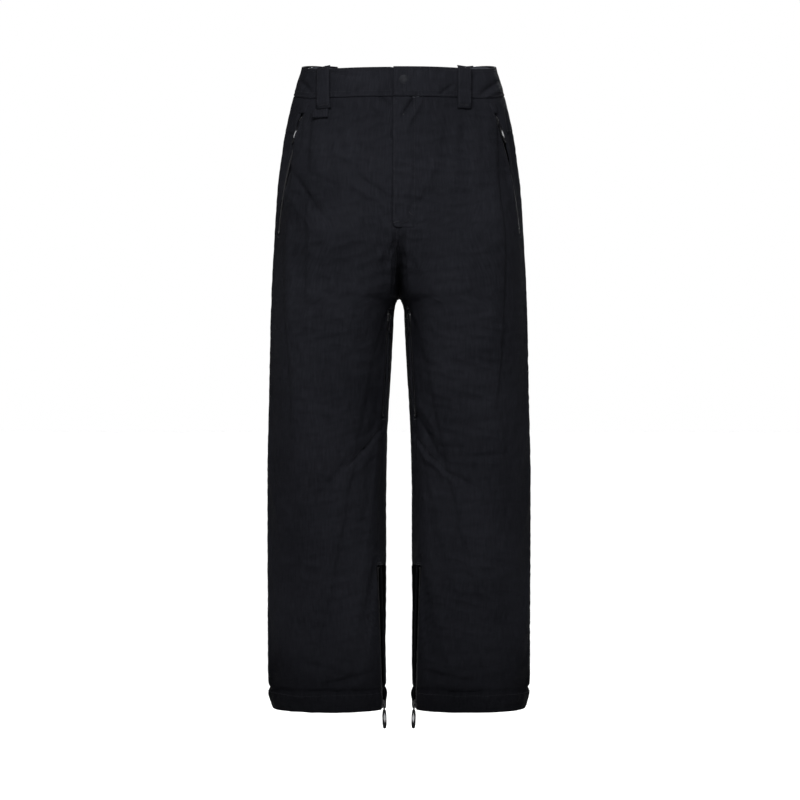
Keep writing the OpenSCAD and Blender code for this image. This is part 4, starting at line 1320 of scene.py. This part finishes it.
def slider(name, body, axes, sign, cad_node):
    """Slider of a coil zip: a rounded top plate, two side wings and the bail over it."""
    bag = Bag()
    plate = [(0.5, 2.3), (0, 2.55), (0, 3.25), (0.25, 3.5), (0.7, 3.62)]
    moulded(bag, rounded(SLIDER, 1.6), plate, axes, sign)
    for s in (-1, 1):
        wing = np.array([[2.85, -6.6], [3.8, -6.8], [4.4, 2.4], [3.3, 5.2], [2.85, 5.2]]) * [s, 1]
        wing = wing if s > 0 else wing[::-1]
        moulded(bag, rounded(wing, 0.5), [(0.2, 0.4), (0, 0.7), (0, 2.4)], axes, sign)
    bail = [(0, 3.3, 3.3), (0, 3.15, 4.6), (0, 2.5, 5.3), (0, 0.4, 5.45), (0, -1.8, 5.35), (0, -2.9, 4.9),
            (0, -3.3, 3.3)]
    t = np.linspace(0, 6, 34)
    path = np.stack([np.interp(t, range(7), [b[i] for b in bail]) for i in range(3)], -1)
    kernel = np.array([1, 2, 3, 2, 1]) / 9
    for i in (1, 2):
        path[:, i] = np.convolve(np.pad(path[:, i], 2, mode="edge"), kernel, "valid")
    strip = placed(axes, path)
    out = np.cross(np.broadcast_to(axes[1], strip.shape), unit(np.gradient(strip, axis=0)))
    ribbon(bag, strip, unit(out), 2.0, 0.9, sign)
    riding(bag, f"{name}_body", body, METAL, "slider_metal", cad_node)


CORD_R = 0.66


def puller(name, body, axes, sign, cad_node, cord=13.0, tab_length=26.0, twist=0.0):
    """Cord loop through the bail and a moulded tab with a plain pale inlay on each face."""
    bag = Bag()
    z, y_bail, w, L = 4.62, -1.4, 4.0, tab_length
    top = [(x, y_bail + 0.5 * (1 - (x / 2.2) ** 2), z) for x in np.linspace(-2.2, 2.2, 9)]
    narrow = 1.4 if twist else 0.7
    right_side = [(2.2 + 0.25 * math.sin(math.pi * t) - narrow * t, y_bail - (cord + 2) * t, z)
                  for t in np.linspace(0.06, 1, 9)]
    loop = top + right_side + [(-x, y, h) for x, y, h in right_side[::-1]]
    loop_of_cord(bag, placed(axes, loop), CORD_R, sign)
    riding(bag, f"{name}_cord", body, CORD, "pull_plastic", cad_node)
    o, x, y, out = axes
    c, k = math.cos(twist), math.sin(twist)
    turned_out = out * c + x * k
    axes = o + out * z - turned_out * z, x * c - out * k, y, turned_out
    y0 = y_bail - cord
    outline = np.array([[-2.4, 0.6], [-w, -0.28 * L], [-w, -0.76 * L], [-0.32 * 2 * w, -L],
                        [0.32 * 2 * w, -L], [w, -0.76 * L], [w, -0.28 * L], [2.4, 0.6]]) + [0, y0]
    levels = [(0.8, z - 1.05), (0.25, z - 0.85), (0, z - 0.4), (0, z + 0.4), (0.25, z + 0.85),
              (0.8, z + 1.05), (1.1, z + 1.0), (1.35, z + 0.8)]
    bag = moulded(Bag(), rounded(outline, 1.8), levels, axes, sign)
    dress(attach(bag.object(f"{name}_tab"), body), RUBBER)
    if L > 12:
        bag = Bag()
        inlay = np.array([[0, -0.17 * L], [-1.9, -0.34 * L], [-1.9, -0.5 * L], [0, -0.7 * L], [1.9, -0.5 * L],
                          [1.9, -0.34 * L]]) + [0, y0]
        for face in (1, -1):
            levels = [(0.3, z + face * 0.7), (0, z + face * 0.9), (0, z + face * 1.0), (0.25, z + face * 1.1)]
            moulded(bag, rounded(inlay if face > 0 else inlay[::-1], 0.8), levels, axes, sign)
        dress(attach(bag.object(f"{name}_inlay"), body), PALE)


pocket_angles = np.linspace(0.4 * math.pi / 180, pocket_sweep - 0.2 * math.pi / 180, 130)
mid_point = pocket_c + pocket_r * pocket_radial(pocket_sweep / 2)
pocket_mid = outward(pocket_line(mid_point[2]), mid_point[2])
pocket_lean = (pocket_mid @ pocket_radial(pocket_sweep / 2), pocket_mid @ pocket_n)


def pocket_frame(angle):
    out = unit(pocket_lean[0] * pocket_radial(angle) + pocket_lean[1] * pocket_n)
    down = -math.sin(angle) * pocket_e1 + math.cos(angle) * pocket_e2
    return pocket_c + pocket_r * pocket_radial(angle) - 4.0 * out, down, out


pocket_path = np.array([pocket_frame(angle)[0] for angle in pocket_angles])
pocket_outs = np.array([pocket_frame(angle)[2] for angle in pocket_angles])


def straight(a, b, top, end, sink=3.2):
    """Path, outward directions and downward direction of a straight zip, sunk below the cloth."""
    n = outward((a + b) / 2, (top + end) / 2)
    p = skin(np.array(a), np.array(top - 1.0)) - sink * n
    q = skin(np.array(b), np.array(end + 1.0)) - sink * n
    k = np.linspace(0, 1, 120)[:, None]
    return p + (q - p) * k, np.repeat(n[None], 120, 0), unit(q - p)


vent_path, vent_outs, vent_down = straight(VENT_TURN, VENT_TURN, VENT_TOP, VENT_END)
leg_path, leg_outs, leg_down = straight(LEG_TURN, LEG_LOW, LEG_ZIP_TOP, HEM)
fly_ends = [skin(turn_at(6.0, np.array(row)), np.array(row)) * [0, 1, 1] + [6.0, 5.8, 0]
            for row in (-52.0, FLY_END + 1)]
fly_path = fly_ends[0] + (fly_ends[1] - fly_ends[0]) * np.linspace(0, 1, 120)[:, None]
fly_down = unit(fly_ends[1] - fly_ends[0])
fly_out = np.array([0, -1.0, 0])

for side, half in halves.items():
    s = half.sign
    zip_parts(f"pocket_{side}", "pants", pocket_path, pocket_outs, 16, s, f"pocket_zip_{side}")
    zip_parts(f"vent_{side}", "pants", vent_path, vent_outs, 16, s, f"vent_zip_{side}")
    zip_parts(f"leg_{side}", f"shin_{side}", leg_path, leg_outs, 16, s, f"leg_zip_{side}")
    places = {"pocket": hardware_frame(*pocket_frame(math.radians(2.8))),
              "vent": hardware_frame(vent_path[0] + 10 * vent_down, vent_down, vent_outs[0]),
              "leg": hardware_frame(leg_path[-1] - 9 * leg_down, leg_down, leg_outs[0])}
    for kind, place in places.items():
        slider(f"{kind}_slider_{side}", f"{kind}_slider_body_{side}", place, s, f"{kind}_slider_{side}")
        size = {"vent": {"cord": 16.0, "tab_length": 8.0}, "pocket": {},
                "leg": {"cord": 9.0, "tab_length": 31.0, "twist": math.radians(30)}}[kind]
        puller(f"{kind}_pull_{side}", f"{kind}_pull_body_{side}", place, s, f"{kind}_puller_{side}", **size)

zip_parts("fly", "pants", fly_path, np.repeat(fly_out[None], 120, 0), 24, 1, "fly_zip")
fly_place = hardware_frame(fly_path[0] + 11 * fly_down, fly_down, fly_out)
slider("fly_slider", "fly_slider_body", fly_place, 1, "fly_slider")
bag = moulded(Bag(), rounded([[-2, -4], [-2, -17], [-1, -19], [1, -19], [2, -17], [2, -4]], 0.8),
              [(0.3, 3.8), (0, 4.0), (0, 4.5), (0.3, 4.7)], fly_place)
riding(bag, "fly_pull", "fly_slider_body", METAL, "snap_metal", "fly_puller")

# ---------------------------------------------------------------- snap

snap_at = skin(turn_at(8.0, np.array(-21.0)), np.array(-21.0)) * [0, 1, 1] + [8.0, 0, 0]
snap_down = skin(np.array(0.05), np.array(-31.0)) - skin(np.array(0.05), np.array(-11.0))
snap_frame = hardware_frame(snap_at, snap_down, outward(0.05, -21.0))
cap = [(0.01, 1.6), (7.0, 1.6), (7.9, 1.75), (8.0, 2.1), (7.7, 2.5), (7.1, 2.72), (6.6, 2.75), (6.2, 2.95),
       (5.0, 3.4), (3.6, 3.72), (2.0, 3.92), (0.8, 3.98), (0.01, 4.0)]
bag = turned(Bag(), cap, snap_frame)
turned(bag, [(0.01, -0.9), (1.3, -0.9), (1.4, -0.7), (1.4, 1.6), (0.01, 1.61)], snap_frame, sides=24)
riding(bag, "snap_dome", "fly_flap_body", SNAP, "snap_metal", "snap_cap")
bag = turned(Bag(), [(3.5, -3.2), (5.6, -3.2), (6.0, -2.9), (6.0, -1.4), (5.6, -1.15), (3.9, -1.15),
                     (3.5, -1.5), (3.5, -3.19)], snap_frame)
riding(bag, "snap_ring", "fly_flap_body", SNAP, "snap_metal", "snap_socket")
bag = turned(Bag(), [(0.01, -4.9), (5.7, -4.9), (6, -4.7), (6, -4.3), (5.7, -4.1), (2.7, -4.1), (2.4, -3.6),
                     (2.6, -2.7), (2.2, -2.25), (0.01, -2.2)], snap_frame)
riding(bag, "snap_post", "pants", SNAP, "snap_metal", "snap_stud")

# ---------------------------------------------------------------- stitching


def tack(bag, half, a, row, across, down, width=1.9, lift=0.3):
    """Adds a bar tack: dense thread over a line of (across, down) millimetres, centred at a place."""
    a, row = np.array([float(a)]), np.array([float(row)])
    n = half.normal(a, row)[0]
    d = unit(half.flat(a, row - 2)[0] - half.flat(a, row + 2)[0])
    c = unit(np.cross(d, n))
    length = math.hypot(across, down)
    u = (across * c + down * d) / length
    v = np.cross(n, u)
    steps = np.arange(-length / 2, length / 2, 0.75)[:, None]
    p = half.at(a, row, lift)[0] + u * steps - v * width / 2
    capsules(bag, p, p + v * width + u * 0.25, np.repeat(n[None], len(p), 0), 0.3, half.sign)


def beside(bag, half, line, mm, rows, off=0.0):
    """Adds stitches mm millimetres beside a line of turns."""
    sewn(bag, half, seam(line, mm, rows), rows, off)


for side, half in halves.items():
    thread = Bag()
    rows = np.arange(-66.0, -262.0, -2.0)
    for mm in (-POCKET_SLOT - 4.5, POCKET_SLOT + 4.5):
        beside(thread, half, pocket_line(rows), mm, rows)
    rows = np.arange(-345.0, HEM + 8, -3.0)
    beside(thread, half, 2.0 + 0 * rows, 5, rows)
    turns = np.linspace(float(back_lo(np.array(YOKE))) + 0.02, 3.99, 120)
    sewn(thread, half, turns, np.full(120, YOKE + 4.0))
    for top, end, slot in ((VENT_TOP, VENT_END, VENT_SLOT), (LEG_ZIP_TOP, HEM + 3, LEG_SLOT)):
        rows = np.arange(top, end, -3.0)
        for mm in (-slot - 2.6, slot + 2.6):
            beside(thread, half, inner_line(rows), mm, rows)
        for up, across in ((2, 13), (5, 11)):
            tack(thread, half, inner_line(np.array(top + up)), top + up, across, 0)
    tack(thread, half, VENT_TURN, VENT_END - 3, 12, 0)
    turns = np.linspace(LEG_LOW + 0.06, 4 + LEG_LOW - 0.06, 360)
    hem_row = np.full(turns.shape, HEM + 28.0)
    inside = turns < 3.85
    sewn(thread, half, turns[inside], hem_row[inside])
    dart = np.array(DARTS[side], float)
    s = np.linspace(0, len(dart) - 1, 60)
    x, z = (np.interp(s, range(len(dart)), dart[:, i]) for i in (0, 1))
    dart_turn = turn_at(x, z)
    for mm, lift in ((0.0, 0.1), (4.6, 0.05)):
        sewn(thread, half, seam(dart_turn, mm * 0.7, z), z + mm * 0.7, lift)
    tack(thread, half, pocket_line(np.array(-268.0)), -268, 8, 3)
    rows = np.arange(YOKE - 4, CROTCH + 6, -3.0)
    sewn(thread, half, 4 - seam(0 * rows, 3.5, rows), rows)
    rows = np.arange(-372.0, HEM + 8, -3.0)
    sewn(thread, half, 4 - seam(gusset_line(rows), 3.5, rows), rows)
    if side == "right":
        rows = np.arange(-262.0, CROTCH + 14, -3.0)
        beside(thread, half, 0 * rows, 3.2, rows)
    dress(knee(thread.object(f"stitching_{side}"), side), THREAD_M)

thread = Bag()
for row in BAND_SEAM_ROWS:
    first, last = (float(turn_at(x, np.array(row))) for x in (SPLIT_X, TAB_X + 2))
    turns = np.linspace(first, 8 - last, 560)
    sewn(thread, whole, turns, np.full(560, row), 0.25)
dress(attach(thread.object("stitching_band"), "pants"), THREAD_M)
dress(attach(loop_thread.object("stitching_loops"), "pants"), THREAD_M)

def on_flap(turns, rows):
    """Adds stitches on the fly flap."""
    sewn(thread, whole, turns, rows, flap_lift(turns, rows) + 0.05)


thread = Bag()
for row in BAND_SEAM_ROWS:
    turns = np.linspace(*(float(at_x(x)(np.array(row))) for x in (4 - TAB_X, SPLIT_X)), 110)
    sewn(thread, whole, turns, np.full(110, row), 0.05 + tab_lift(turns, row))
rows = np.arange(-5.0, BAND + 3, -1.5)
sewn(thread, whole, -turn_at(TAB_X - 4.2, rows), rows, 1.75)
rows = np.arange(-50.0, -236.0, -2.0)
turns = turn_at(24.5, rows)
on_flap(turns, rows)
sweep = np.linspace(0, 1, 26)
x = 24.5 - 27 * sweep ** 1.5
rows = -236.0 - 16 * np.sin(sweep * math.pi / 2)
turns = signed_turn(x, rows)
on_flap(turns, rows)
rows = np.arange(-52.0, -250.0, -2.0)
turns = -turn_at(6.8, rows)
on_flap(turns, rows)
for x, row, across, down in ((-4.0, -250.0, 9, 2), (18.0, -236.0, 6, -4)):
    a = float(signed_turn(np.array(x), np.array(row)))
    tack(thread, whole, a, row, across, down, lift=float(flap_lift(np.array(a), np.array(row))) + 0.25)
dress(fly_hinge(thread.object("stitching_fly")), THREAD_M)

for side, half in halves.items():
    thread = Bag()
    rows = np.arange(-131.0, -172.5, -1.5)
    for a, mm in zip(REAR_FLAP_TURNS, (3.6, -3.6)):
        beside(thread, half, a + 0 * rows, mm, rows, 0.05 + rear_lift(rows))
    turns = np.linspace(2.98, 3.57, 60)
    sewn(thread, half, turns, np.full(60, -172.4), 2.45)
    sewn(thread, half, turns, np.full(60, -132.0), 1.6)
    obj = rear_flap_hinge(thread.object(f"stitching_rear_flap_{side}"), side)
    dress(obj, THREAD_M)

# ---------------------------------------------------------------- light, floor, camera

FLOOR_Z = cad_box[0][2] - 0.3


def stage_floor():
    mesh = bpy.data.meshes.new("floor")
    size = 60.0
    mesh.from_pydata([(-size, -size, FLOOR_Z), (size, -size, FLOOR_Z), (size, size, FLOOR_Z),
                      (-size, size, FLOOR_Z)], [], [(0, 1, 2, 3)])
    floor = bpy.data.objects.new("floor", mesh)
    bpy.context.scene.collection.objects.link(floor)

    def nodes_of(tree, shader):
        shader.inputs["Base Color"].default_value = (0.93, 0.93, 0.93, 1)
        shader.inputs["Roughness"].default_value = 0.9
        shader.inputs["Specular IOR Level"].default_value = 0.1
    mesh.materials.append(material("floor", nodes_of))


def area_light(name, place, target, size, power, tint=(1, 1, 1)):
    light = bpy.data.lights.new(name, "AREA")
    light.shape = "RECTANGLE"
    light.size, light.size_y = size
    light.energy = power
    light.color = tint
    obj = bpy.data.objects.new(name, light)
    obj.location = place
    obj.rotation_euler = (Vector(target) - Vector(place)).to_track_quat("-Z", "Y").to_euler()
    bpy.context.scene.collection.objects.link(obj)


def studio():
    world = bpy.data.worlds.new("studio")
    bpy.context.scene.world = world
    world.use_nodes = True
    tree = world.node_tree
    tree.nodes.clear()
    out = tree.nodes.new("ShaderNodeOutputWorld")
    back = tree.nodes.new("ShaderNodeBackground")
    tree.links.new(back.outputs[0], out.inputs[0])
    coord = tree.nodes.new("ShaderNodeTexCoord")
    split = tree.nodes.new("ShaderNodeSeparateXYZ")
    tree.links.new(coord.outputs["Generated"], split.inputs[0])
    height = maths(tree, "ABSOLUTE", split.outputs[2])
    tree.links.new(ramp(tree, height, (1.0, 1.0, 1.0), (0.12, 0.12, 0.125), 0.17, 0.3), back.inputs[0])
    back.inputs[1].default_value = 1.0
    area_light("key", (-0.12, -1.5, 0.75), (0, 0, -0.2), (0.7, 0.4), 80)
    area_light("fill", (0.9, -2.4, 0.2), (0, 0, -0.4), (1.0, 1.0), 3)
    area_light("rear", (0.5, 1.8, 1.0), (0, 0, -0.4), (1.0, 0.6), 90)
    sun = bpy.data.lights.new("ceiling", "SUN")
    sun.energy, sun.angle = 3.0, math.radians(50)
    bpy.context.scene.collection.objects.link(bpy.data.objects.new("ceiling", sun))


stage_floor()
studio()
bpy.context.scene.view_settings.view_transform = "Standard"

camera_data = bpy.data.cameras.new("camera")
camera_data.lens = 110.2
camera_data.sensor_width = 36
camera = bpy.data.objects.new("camera", camera_data)
camera.location = (0.0016, -4.0, -0.5315)
camera.rotation_euler = (math.pi / 2, 0, 0)
bpy.context.scene.collection.objects.link(camera)
bpy.context.scene.camera = camera
